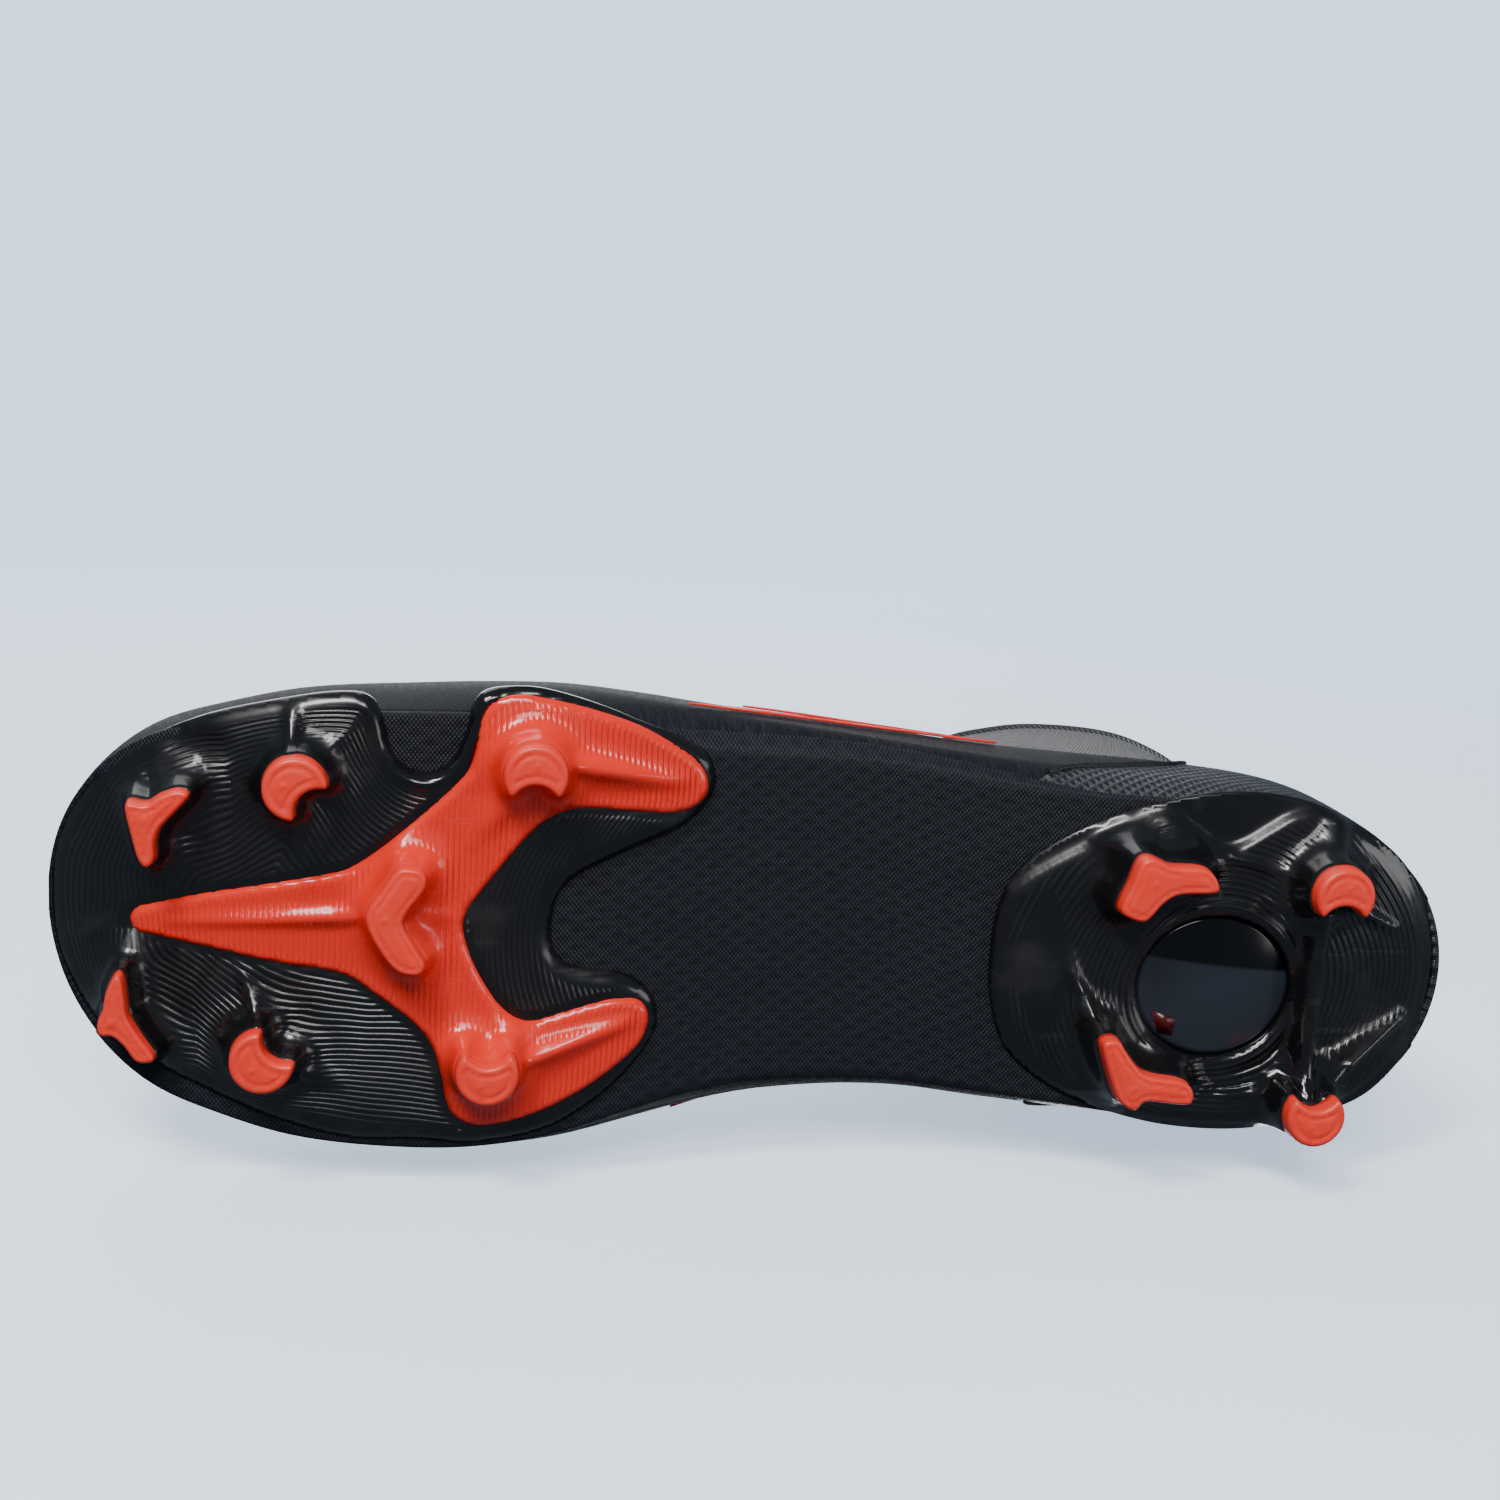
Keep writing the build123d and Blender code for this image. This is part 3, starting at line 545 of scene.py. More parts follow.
HEEL_FINS = [
    ((72, -19), (66, -22.5), 5.5, 1.2, 2.6), ((87, -16), (90, -19.5), 4.5, 1.0, 1.5),
    ((68, 19), (63, 8), 7.0, 1.2, 1.5), ((63, 8), (62, 3), 1.2, 0.2, 1.3),
    ((116, -19), (118, -25.5), 6.0, 2.0, 3.6), ((121, -9), (134, -2.5), 4.0, 0.8, 1.1),
    ((119, 31), (137, 18), 6.5, 1.5, 2.2), ((109, -15), (94, -18.4), 2.4, 0.6, 1.1),
    ((86, 30), (93, 32), 4.0, 0.8, 2.0), ((72, 31), (64, 33.5), 4.5, 0.8, 2.2),
    ((108, 34), (98, 34), 3.0, 0.6, 2.2)]


def relief_of(points, studs, fins):
    """Height of the mounds and fins over a plate."""
    parts = []
    for stud in studs:
        tip_z, outline = STUDS[stud]
        foot = float(curve(SOLE, outline[:, 0].mean())) - tip_z - TIP + 0.5
        parts.append(mound(signed_distance(points, outline), foot))
    return joined(parts + [ridge(points, *fin) for fin in fins])


def forefoot_height(points):
    """Underside of the forefoot plate, with its rolled edge, beads and groove."""
    inside = -signed_distance(points, FOREFOOT)
    chassis = signed_distance(points, CHASSIS)
    relief = relief_of(points, TOE_STUDS, FOREFOOT_FINS)
    toe = smooth((-112 - points[:, 0]) / 25)
    reach = 5 + 5 * toe
    roll = (2.2 + 1.8 * toe) * (1 - np.clip(inside / reach, 0, 1))**2
    notch = np.exp(-((points[:, 0] + 72) / 14)**4) * (points[:, 1] < -24)
    edge = np.exp(-((np.hypot(points[:, 0] + 30, points[:, 1] + 40)) / 22)**4)
    bead = (0.25 + 1.5 * notch + 0.7 * edge) * np.exp(-((inside - 1.7) / 1.4)**2)
    groove = -0.5 * np.exp(-((chassis - 0.5) / 0.45)**2)
    under = 0.7 * smooth(-chassis / 0.8)
    pod = -1.6 * np.exp(-(((points[:, 0] + 120) / 6.5)**2 + ((points[:, 1] + 37) / 2.6)**2)**1.5)
    lift = relief + bead + groove + pod
    return curve(SOLE, points[:, 0]) + roll - lift * (chassis > -0.8) + under


def forefoot_mask(points):
    """Phase of the fine lines on the forefoot plate, and where they show."""
    inside = -signed_distance(points, FOREFOOT)
    chassis = signed_distance(points, CHASSIS)
    relief = relief_of(points, TOE_STUDS, FOREFOOT_FINS)
    nearest = np.min([signed_distance(points, STUDS[stud][1]) for stud in TOE_STUDS], axis=0)
    x, y = points[:, 0], points[:, 1]
    wave = 0.8 * np.sin(x / 9.0 + y / 14.0) + 0.6 * np.sin(y / 6.5 - x / 17.0)
    around = inside + 3.2 * np.exp(-(nearest / 9)**2) + wave
    fork = x - 0.014 * (y - 2)**2 + 0.5 * wave
    behind = smooth((x + 70) / 10)
    phase = np.where(behind > 0.5, fork, around)
    mask = smooth((inside - 2.6) / 1.6) * smooth((chassis - 0.9) / 1.2) * smooth((1.8 - relief) / 1.7)
    mask *= 1 - np.exp(-((behind - 0.5) / 0.16)**2)
    spots = 0.55 + 0.45 * np.sin(x / 13 + 2) * np.sin(y / 11 + 1)
    return phase, mask * (0.65 + 0.35 * spots)


def chassis_height(points):
    """Underside of the chassis, proud of the forefoot plate, with rounded edges."""
    inside = -signed_distance(points, CHASSIS)
    relief = relief_of(points, CHASSIS_STUDS, CHASSIS_FINS)
    rounded = 0.75 * (1 - (1 - np.clip(inside / 1.1, 0, 1))**2)
    return curve(SOLE, points[:, 0]) + 0.2 - rounded - relief


def chassis_mask(points):
    """Phase of the fine lines across the chassis, and where they show."""
    inside = -signed_distance(points, CHASSIS)
    relief = relief_of(points, CHASSIS_STUDS, CHASSIS_FINS)
    mask = smooth((inside - 1.2) / 0.8) * smooth((1.5 - relief) / 1.1)
    return points[:, 0].copy(), mask


HEEL_BEAM = ((114.8, -7), (113.8, 30))


def lozenge(points, size):
    """Positive in the sunken lozenge in front of the heel window."""
    return size - np.abs(points[:, 0] - 57) * 0.9 - np.abs(points[:, 1] - 7) * 0.35


def heel_height(points):
    """Underside of the heel plate: beam, window rim, sunken lozenge and rolled edge."""
    outside = signed_distance(points, HEEL_BASE)
    window = signed_distance(points, WINDOW)
    relief = relief_of(points, HEEL_STUDS, HEEL_FINS)
    bar, along = segment_distance(points, *HEEL_BEAM)
    beam = (5.4 + 1.5 * (2 * along - 1)**2) * np.exp(-(bar / 2.5)**3.5)
    hub = 1.3 * np.exp(-((window - 2.0) / 1.7)**2) + 0.5 * np.exp(-((window - 5.5) / 1.2)**2)
    rise = 1.7 * (1 - np.exp(-np.maximum(outside, 0) / 1.0))
    rise *= 1 - 0.6 * smooth((points[:, 0] - 118) / 18)
    roll = 0.6 * (1 - np.clip(-outside / 3.5, 0, 1))**2
    inner = (relief + beam) * smooth((2.5 - outside) / 2.5)
    sunken = 0.45 * smooth(lozenge(points, 7.5) / 5)
    return curve(SOLE, points[:, 0]) + rise + roll - inner - hub - sunken


def heel_mask(points):
    """Phase of the fine lines round the heel window, and where they show."""
    outside = signed_distance(points, HEEL_BASE)
    window = signed_distance(points, WINDOW)
    relief = relief_of(points, HEEL_STUDS, HEEL_FINS)
    bar = segment_distance(points, *HEEL_BEAM)[0]
    x, y = points[:, 0], points[:, 1]
    wave = 0.7 * np.sin(x / 8 + y / 13) + 0.5 * np.sin(y / 6 - x / 15)
    mask = smooth((-outside - 1.0) / 2.0) * smooth((window - 0.8) / 1.4) * smooth((1.9 - relief) / 1.8)
    mask *= smooth((bar - 3.0) / 2.2)
    mask *= 1 - smooth(lozenge(points, 7))
    return window * 0.9 + wave, mask


def plain_back(points, bottom):
    """Upper face of a plate."""
    return np.maximum(curve(SOLE, points[:, 0]) + PLATE, bottom + 1.0)


def chassis_back(points, bottom):
    """Upper face of the chassis, sunk into the forefoot plate."""
    return np.maximum(curve(SOLE, points[:, 0]) + 1.1, bottom + 0.8)


forefoot = moulded("forefoot_plate_shell", FOREFOOT, [], TOE_STUDS,
                   forefoot_height, forefoot_mask, 1.0, plain_back)
chassis = moulded("chassis_shell", CHASSIS, [], CHASSIS_STUDS, chassis_height, chassis_mask, 0.9, chassis_back)
heel = moulded("heel_plate_shell", HEEL, [WINDOW], HEEL_STUDS, heel_height, heel_mask, 0.85, plain_back)


# Levels of a tip's wall: how far it has grown outwards, and its height above the tip.
TIP_LEVELS = ((0.05, 1.3), (0.2, 2.6), (0.34, TIP))
TIP_GRID = 0.5


def stud_tip(name):
    """Coloured tip with rounded edges, an inset contour line and a dot at its middle."""
    tip_z, outline = STUDS[name]
    low, high = outline.min(0), outline.max(0)
    grid = np.meshgrid(np.arange(low[0], high[0], TIP_GRID), np.arange(low[1], high[1], TIP_GRID))
    grid = np.stack(grid, -1).reshape(-1, 2)
    grid = grid[signed_distance(grid, outline) < -1.15]
    rings = [grown(outline, -amount) for amount in (0.22, 0.45, 0.75)]
    verts, faces = triangulate(outline, [], np.vstack([grid, *rings]))
    inside = -signed_distance(verts, outline)
    line_at = 1.75 if name in CRESCENTS else 1.25
    rounded = 0.6 * (1 - np.clip(inside / 0.8, 0, 1))**2
    dot = np.hypot(*(verts - verts[np.argmax(inside)]).T)
    groove = 0.34 * np.exp(-((inside - line_at) / 0.32)**2) - 0.3 * np.exp(-(dot / 0.55)**2)
    points = [np.column_stack([verts, tip_z + rounded + groove])]
    edges = boundary(faces)
    rim = sorted({i for edge in edges for i in edge})
    place = {old: k for k, old in enumerate(rim)}
    normal = outward(outline)
    out = np.array([normal[np.argmin(np.hypot(*(outline - verts[i]).T))] for i in rim])
    for grow, rise in TIP_LEVELS:
        points.append(np.column_stack([verts[rim] + out * grow, np.full(len(rim), tip_z + rise)]))

    def at_level(i, level):
        return i if level == 0 else len(verts) + (level - 1) * len(rim) + place[i]

    made = [tuple(f[::-1]) for f in faces.tolist()]
    for k in range(len(TIP_LEVELS)):
        made += [(at_level(a, k), at_level(b, k), at_level(b, k + 1), at_level(a, k + 1)) for a, b in edges]
    following = dict(edges)
    cap = [edges[0][0]]
    while following[cap[-1]] != cap[0]:
        cap.append(following[cap[-1]])
    made.append(tuple(at_level(i, len(TIP_LEVELS)) for i in cap))
    return make_mesh(name + "_tip", np.vstack(points), made)


tips = {name: stud_tip(name) for name in STUDS}


# --- upper ---
def topline_of(x):
    """Height of the collar's lower edge."""
    return curve(TOPLINE, np.clip(x, -40, 156))


ROWS_LOW = 10
ROWS_HIGH = 104
COLUMNS = 208


def settled(turn, start, height_at, inset):
    """Heights at which the upper's face meets a height given along the shoe."""
    z = np.full(COLUMNS, start)
    for _ in range(25):
        x = last_point(turn, z, inset)[0]
        z = 0.5 * z + 0.5 * height_at(x)
    return z


def upper_grid(inset):
    """Points of the upper's face from the plates to the rim, row by row, and their flow in millimetres."""
    turn = 2 * math.pi * (np.arange(COLUMNS) + 0.5) / COLUMNS
    low = settled(turn, 20.0, lambda x: curve(SOLE, x) + PLATE + 0.3, inset)
    top = settled(turn, 138.0, lambda x: np.interp(x, *zip(*RIM)), inset)
    rows = [low + (WIDEST_Z - low) * j / ROWS_LOW for j in range(ROWS_LOW)]
    rows += [WIDEST_Z + (top - WIDEST_Z) * (j / (ROWS_HIGH - 1))**1.6 for j in range(ROWS_HIGH)]
    points = np.array([np.column_stack([*last_point(turn, z, inset), z]) for z in rows])
    up = np.concatenate([np.zeros((1, COLUMNS)),
                         np.cumsum(np.linalg.norm(np.diff(points, axis=0), axis=2), axis=0)])
    middle = points[ROWS_LOW + 30]
    gaps = np.linalg.norm(np.diff(np.vstack([middle, middle[:1]]), axis=0), axis=1)
    round_it = np.concatenate([[0], np.cumsum(gaps)[:-1]])
    round_it = np.minimum(round_it, gaps.sum() - round_it - gaps[-1])
    flow = np.stack([np.broadcast_to(round_it, up.shape), up, np.zeros_like(up)], -1)
    return points, flow.reshape(-1, 3)


def grid_faces(rows, columns, closed):
    """Faces of a grid of points, which may close round on itself along its rows."""
    faces = []
    for j in range(rows - 1):
        for i in range(columns if closed else columns - 1):
            k = (i + 1) % columns
            faces.append((j * columns + i, j * columns + k, (j + 1) * columns + k, (j + 1) * columns + i))
    return faces


outer_points, outer_flow = upper_grid(0.0)
inner_points, inner_flow = upper_grid(LINING_INSET)
upper_faces = grid_faces(ROWS_LOW + ROWS_HIGH, COLUMNS, True)


def throat_value(p):
    """Positive outside the throat, negative in it."""
    across = np.abs(p[:, 1] - curve(CENTRE, np.clip(p[:, 0], TOE_X, HEEL_X))) - THROAT_HALF
    front = THROAT_FRONT - p[:, 0]
    back = p[:, 0] - THROAT_BACK
    corner = np.hypot(np.maximum(across + 6, 0), np.maximum(front + 6, 0)) - 6
    inner = np.maximum(np.maximum(across, back), np.where((across > -6) & (front > -6), corner, front))
    return np.where(p[:, 2] > 50, inner, 10.0)


HEEL_SPLIT = [(8, 40), (18, 50), (26, 60), (34, 76), (43, 91), (60, 99), (90, 103)]


def heel_value(p):
    """Positive in the textured heel zone."""
    return p[:, 0] - curve(HEEL_SPLIT, p[:, 2])


def upper_part(name, *values, upright=False):
    """Part of the upper where every value is positive."""
    p, f, d = outer_points.reshape(-1, 3), upper_faces, outer_flow
    for value in values:
        p, f, d = clip(p, f, value(p), d)
    if upright:
        d[:, 1] = p[:, 2] - 0.11 * p[:, 0]
    return make_mesh(name, p, f, {"flow": d})


def below(p):
    """Positive below the collar's lower edge."""
    return topline_of(p[:, 0]) - p[:, 2]


def padded_lining():
    """Lining of the collar, swollen by a creased ring of padding round the heel."""
    p, f, d = inner_points.reshape(-1, 3), [face[::-1] for face in upper_faces], inner_flow
    p, f, d = clip(p, f, p[:, 2] - np.interp(p[:, 0], [-40, 20, 50, 160], [75, 75, 50, 50]), d)
    p, f, d = clip(p, f, np.maximum(p[:, 0] - 28, np.where(p[:, 2] > 112, 1.0, -1.0)), d)
    piece = make_mesh("collar_lining", p, f, {"flow": d})
    normals = np.array([v.normal[:] for v in piece.data.vertices])
    pad = 1.7 * np.exp(-((p[:, 2] - 89) / 13)**2) * smooth((p[:, 0] - 34) / 30)
    crease = 0.16 * np.sin(d[:, 0] / 5.5 + 1.6 * np.sin(d[:, 1] / 9)) * np.sin(d[:, 1] / 7 + 0.8)
    crease += 0.10 * np.sin(d[:, 0] / 2.3)
    swollen = (p + normals * (pad * (1 + crease))[:, None]) * MM
    piece.data.vertices.foreach_set("co", swollen.astype(np.float32).ravel())
    return solidify(piece, LINING)


knit = solidify(upper_part("knit_upper", below, throat_value, lambda p: -heel_value(p)), KNIT)
heel_mesh = solidify(upper_part("heel_mesh_panel", below, heel_value), KNIT)
collar = solidify(upper_part("knit_collar", lambda p: -below(p), throat_value, upright=True), COLLAR)
lining = padded_lining()

# rolled edge of the collar
rim_line = (outer_points[-1] + inner_points[-1]) / 2
rim_line = np.vstack([rim_line, rim_line[:2]])
rim_line[:, 2] -= 0.2
collar_edge = tube("collar_rolled_edge", [rim_line], 2.0, flat=0.75, sides=14)


# --- patches laid over the upper's face ---
def sheet_of(name, xs, lines, faces_up):
    """Sheet through lines along the shoe, each given by its distances from the centre line and its heights."""
    points = [np.column_stack([xs, curve(CENTRE, xs) + off, z]) for off, z in lines]
    flow = [np.column_stack([off, xs, 0 * xs]) for off, z in lines]
    faces = grid_faces(len(lines), len(xs), False)
    piece = make_mesh(name, np.vstack(points), faces, {"flow": np.vstack(flow)})
    if (piece.data.polygons[len(faces) // 2].normal.z > 0) != faces_up:
        piece.data.flip_normals()
    return piece


def patch(name, x_range, across_of, inset, counts, thickness, bevel=0.0):
    """Sheet over the instep, between two distances from the centre line."""
    xs = np.linspace(*x_range, counts[0])
    offs = [across_of(xs, t) + 0 * xs for t in np.arange(counts[1]) / (counts[1] - 1)]
    piece = sheet_of(name, xs, [(off, surface_z(xs, off, inset)) for off in offs], True)
    return solidify(piece, thickness, bevel=bevel)


def eyestay_across(x, t):
    """Distance from the centre line across an eyestay, whose front corners are rounded."""
    start = THROAT_HALF - 0.2 + 2.5 * np.clip((-40 - x) / 6, 0, 1)**2
    end = EYESTAY_HALF + 1.2 * np.sin((x + 46) / 72 * math.pi) - 3 * np.clip((-38 - x) / 8, 0, 1)**2
    return start + (end - start) * t


SIDES = {"lateral": -1, "medial": 1}
tongue = patch("knit_tongue", (-53, 31), lambda x, t: (2 * t - 1) * 13.9, 3.3, (60, 24), 1.6)
eyestays = {label: patch(f"eyestay_film_{label}", (-45.6, 25.6), lambda x, t: side * eyestay_across(x, t),
                         -0.75, (60, 10), FILM, bevel=0.25)
            for label, side in SIDES.items()}


# Stripes: lower edge, upper edge and reach along the shoe.
STRIPES = {
    "lower": ([(-20, 29.0), (0, 34.5), (50, 43.2)], [(-20, 29.2), (-8, 35.8), (50, 43.7)], (-20, 50)),
    "upper": ([(-7, 40.5), (50, 45)], [(-7, 40.7), (-1, 43.2), (50, 45.8)], (-7, 50)),
}


def stripe_film(label, side_name):
    """Film on the side wall between two heights given along the shoe."""
    lower, upper, x_range = STRIPES[label]
    side = SIDES[side_name]
    xs = np.linspace(*x_range, 60)
    points, flow = [], []
    for t in np.arange(6) / 5:
        z = np.interp(xs, *zip(*lower)) * (1 - t) + np.interp(xs, *zip(*upper)) * t
        points.append(np.column_stack([xs, curve(CENTRE, xs) + side * half_width(xs, z, -0.45), z]))
        flow.append(np.column_stack([xs, z, 0 * xs]))
    faces = grid_faces(6, 60, False)
    piece = make_mesh(f"film_{label}_{side_name}", np.vstack(points),
                      faces if side > 0 else [f[::-1] for f in faces], {"flow": np.vstack(flow)})
    return solidify(piece, STRIPE_FILM)


stripes = {f"stripe_{label}_{side_name}": stripe_film(label, side_name)
           for label in STRIPES for side_name in SIDES}


# --- skin under the waist, board and insole ---
def floor_sheet(name, inset, height, counts, thickness, rise=0.0):
    """Sheet over the plates, from toe to heel, at a height above the sole's underside."""
    low, high = TOE_X + inset + 1.5, HEEL_X - inset - 1.5
    xs = (low + high) / 2 - (high - low) / 2 * np.cos(np.linspace(0, math.pi, counts[0]))
    z = curve(SOLE, xs) + height
    half = np.maximum(half_width(xs, z + 2.0, inset), 0.3)
    places = 2 * np.arange(counts[1]) / (counts[1] - 1) - 1
    return solidify(sheet_of(name, xs, [(t * half, z + rise * abs(t)**3) for t in places], True), thickness)


def skin_sheet():
    """Textured skin that closes the underside over the plates and turns up round the wall at the waist."""
    xs = np.linspace(-139, 143, 150)
    turned_up = 0.7 + 3.0 * np.exp(-((xs - 12) / 45)**4)
    lines = []
    for t in 2 * np.arange(76) / 75 - 1:
        z = curve(SOLE, xs) + PLATE - 0.3 + turned_up * np.clip((abs(t) - 0.86) / 0.14, 0, 1)**1.4
        lines.append((np.sign(t) * half_width(xs, z, -0.2) * min(abs(t) / 0.88, 1), z))
    return solidify(sheet_of("waist_skin", xs, lines, False), 1.1)


skin = skin_sheet()
board = floor_sheet("board_sheet", 3.2, PLATE + SKIN + BOARD - 0.1, (110, 40), 1.6)
insole = floor_sheet("insole_sheet", 3.0, PLATE + SKIN + BOARD + INSOLE, (130, 50), 3.6, rise=1.2)


# --- eyelets and lace ---
def face_frame(x, off):
    """Point of the upper's face, its outward direction and its direction along the shoe."""
    h = 0.5
    here = np.array([x, curve(CENTRE, x) + off, surface_z(np.array([x]), off)[0]])
    ahead = np.array([2 * h, 0, (surface_z(np.array([x + h]), off) - surface_z(np.array([x - h]), off))[0]])
    side = np.array([0, 2 * h, (surface_z(np.array([x]), off + h) - surface_z(np.array([x]), off - h))[0]])
    out = np.cross(ahead, side)
    return here, out / np.linalg.norm(out), ahead / np.linalg.norm(ahead)


EYELET_PROFILE = [
    (1.7, -2.6), (1.7, 0.9), (1.9, 1.35), (2.4, 1.45), (2.9, 1.15), (3.0, 0.75), (2.6, 0.6), (2.6, -2.6)]
EYELET_SPOKES = 28


def eyelet_rings():
    """Rolled metal rings set in the eyestays."""
    points, faces = [], []
    n = len(EYELET_PROFILE)
    for row in EYELET_ROWS:
        for side in (-1, 1):
            here, out, ahead = face_frame(float(row), side * EYELET_Y)
            across = np.cross(out, ahead)
            base = len(points)
            for i in range(EYELET_SPOKES):
                a = 2 * math.pi * i / EYELET_SPOKES
                for radius, rise in EYELET_PROFILE:
                    points.append(here + out * rise + radius * (math.cos(a) * ahead + math.sin(a) * across))
                start, end = base + i * n, base + (i + 1) % EYELET_SPOKES * n
                faces += [(start + k, end + k, end + (k + 1) % n, start + (k + 1) % n) for k in range(n)]
    return make_mesh("eyelet_rings", points, faces)


# Places of a lace bar across the instep, and its height over the tongue or the eyestay there.
LACE_BAR = ((12.5, 1.6), (7.0, 0.0), (0, -0.7), (-7.0, 0.0), (-12.5, 1.6))


def lace_route():
    """Points of the lace: each bar comes up through an eyelet, crosses the instep and goes down the next."""
    route = []
    for i, row in enumerate(EYELET_ROWS):
        first = -1 if i % 2 == 0 else 1
        for side in (first, -first):
            here, out = face_frame(float(row), side * EYELET_Y)[:2]
            ends = [here - out * 4.2, here - out * 1.5, here + out * 1.1,
                    here + out * 2.1 - np.array([0, side * 1.5, 0])]
            if side == first:
                route += ends
                for off, lift in LACE_BAR:
                    height = surface_z(np.array([row]), side * off)[0] + lift
                    route.append(np.array([row, curve(CENTRE, row) + side * off, height]))
            else:
                route += ends[::-1]
    return route


eyelets = eyelet_rings()


def open_curve(points, step):
    """Smooth open curve through points."""
    p = np.array(points, float)
    p = np.vstack([2 * p[0] - p[1], p, 2 * p[-1] - p[-2]])
    parts = [arc_between(*p[i - 1:i + 3], 14) for i in range(1, len(p) - 2)]
    return resample(np.vstack([*parts, p[-2:-1]]), step)


lace = tube("flat_lace", [open_curve(lace_route(), 0.8)], 1.5, flat=0.62, sides=12, up=(1, 0.001, 0))


# --- stitching ---
def stitches(name, lines, length=2.3, gap=1.1, radius=0.24):
    """Rows of thread stitches along lines of points."""
    runs = []
    for line in lines:
        path = resample(np.asarray(line, float), (length + gap) / 4)
        for i in range(0, len(path) - 4, 4):
            runs.append(path[i:i + 4])
    return tube(name, runs, radius, sides=6)


def instep_line(off_of, x_range, lift):
    """Line over the instep, at a distance from the centre line."""
    xs = np.linspace(*x_range, 60)
    off = off_of(xs)
    return np.column_stack([xs, curve(CENTRE, xs) + off, surface_z(xs, off) + lift])


def wall_line(xs, zs, side, lift):
    """Line on the side wall."""
    return np.column_stack([xs, curve(CENTRE, xs) + side * half_width(xs, zs, -lift), zs])


stay_stitches = stitches("eyestay_stitches", [
    instep_line(lambda x, s=side, o=off: s * (o + 0 * x), (-43, 24), 0.95)
    for side in (-1, 1) for off in (THROAT_HALF + 1.0, EYESTAY_HALF - 1.4)])


def topline_loop(shift, lift):
    """Line along the collar's lower edge, from the instep round the heel and back."""
    t = np.linspace(-1, 1, 181)
    xs = 138.8 - 114.8 * t**2
    zs = topline_of(xs) + shift
    return wall_line(xs, zs, np.sign(t), lift)


collar_stitches = stitches("collar_stitches", [topline_loop(shift, 0.15) for shift in (1.4, -1.4)])

collar_seam = tube("collar_seam_tape", [topline_loop(0, 0.1)], 1.0, flat=0.45, sides=10)
split_z = np.linspace(24, 73.4, 70)
split_x = curve(HEEL_SPLIT, split_z)
heel_seam = tube("heel_seam_tape", [wall_line(split_x, split_z, side, 0.05) for side in (-1, 1)],
                 0.7, flat=0.45)

# --- pull tab ---
TAB_LOW = 112.0
TAB_TOP = 143.0
TAB_WIDTH = 14.0
TAB_X = float(curve(BACK, TAB_LOW)) + 1.2
TAB_Y = float(curve(CENTRE, 136))


def strap(name, z_low, z_high, width, thickness_at):
    """Doubled woven tape with rounded edges, standing against the collar."""
    p, flows = [], []
    nz, ring = 40, 26
    for j in range(nz):
        z = z_low + (z_high - z_low) * j / (nz - 1)
        thick = float(thickness_at(z - TAB_LOW))
        for i in range(ring):
            a = 2 * math.pi * i / ring
            y = width / 2 * np.sign(math.cos(a)) * abs(math.cos(a))**0.35
            x = thick / 2 * np.sign(math.sin(a)) * abs(math.sin(a))**0.6
            p.append((TAB_X + thick / 2 + x, TAB_Y + y, z))
            flows.append((y, z, 0))
    faces = grid_faces(nz, ring, True)
    faces.append(tuple(range(ring)))
    faces.append(tuple(reversed(range((nz - 1) * ring, nz * ring))))
    return make_mesh(name, p, faces, {"flow": flows})


tab = strap("pull_tab_tape", TAB_LOW + 0.1, TAB_TOP, TAB_WIDTH,
            lambda rise: np.interp(rise, [0.1, 1.9, 29.6, 30.6, 31.0], [0.5, 1.6, 1.7, 1.1, 0.4]))
anchor = strap("tab_anchor_tape", TAB_LOW - 13.8, TAB_LOW - 0.6, TAB_WIDTH,
               lambda rise: np.interp(rise, [-13.8, -13.2, -1.9, -0.6], [0.8, 1.5, 1.5, 0.5]))
tab_box = [(TAB_X + 1.75, TAB_Y + y, z) for y, z in
           ((-5, 100), (5, 100), (5, 110), (-5, 110), (-5, 100), (5, 110))]
tab_stitches = stitches("tab_stitches", [tab_box, [tab_box[1], tab_box[3]]], length=1.6, gap=0.7, radius=0.22)
tab_edge = [(TAB_X + 1.85, TAB_Y + y, z) for y, z in ((-5.4, 113.5), (-5.4, 140), (5.4, 140), (5.4, 113.5))]
tab_edge_stitches = stitches("tab_edge_stitches", [tab_edge], length=1.6, gap=0.7, radius=0.22)

# --- heel window ---
def dished(points, reach):
    """Height of the lens face, sunk towards its middle, at a reach of 0 to 1 from it."""
    return curve(SOLE, points[:, 0]) + LENS_EDGE - LENS_DISH * (1 - reach**2)


def window_lens():
    """Dished lens of the heel window."""
    rings, n = 14, len(turns)
    reach = np.concatenate([[0.0], np.repeat(np.arange(1, rings + 1) / rings * 0.995, n)])
    angle = np.concatenate([[0.0], np.tile(turns, rings)])
    points = np.column_stack([WINDOW_CENTRE[0] + WINDOW_RADII[0] * reach * np.cos(angle),
                              WINDOW_CENTRE[1] + WINDOW_RADII[1] * reach * np.sin(angle), reach])
    points[:, 2] = dished(points, reach)
    faces = [(0, 1 + (i + 1) % n, 1 + i) for i in range(n)]
    for ring in range(rings - 1):
        for i in range(n):
            a, b = 1 + ring * n + i, 1 + ring * n + (i + 1) % n
            faces.append((a, b, b + n, a + n))
    piece = make_mesh("window_lens", points, faces, {"flow": points})
    if piece.data.polygons[300].normal.z > 0:
        piece.data.flip_normals()
    return solidify(piece, 1.6)


window = window_lens()
tag_plan = np.array([(80.4, 15.6), (85.6, 17.3), (85.3, 20.9), (82.3, 20.6)])
tag_reach = np.linalg.norm((tag_plan - WINDOW_CENTRE) / WINDOW_RADII, axis=1)
tag_z = dished(tag_plan, tag_reach) - 0.12
window_tag = solidify(make_mesh("window_tag", np.column_stack([tag_plan, tag_z]), [(0, 1, 2, 3)]), 0.2)


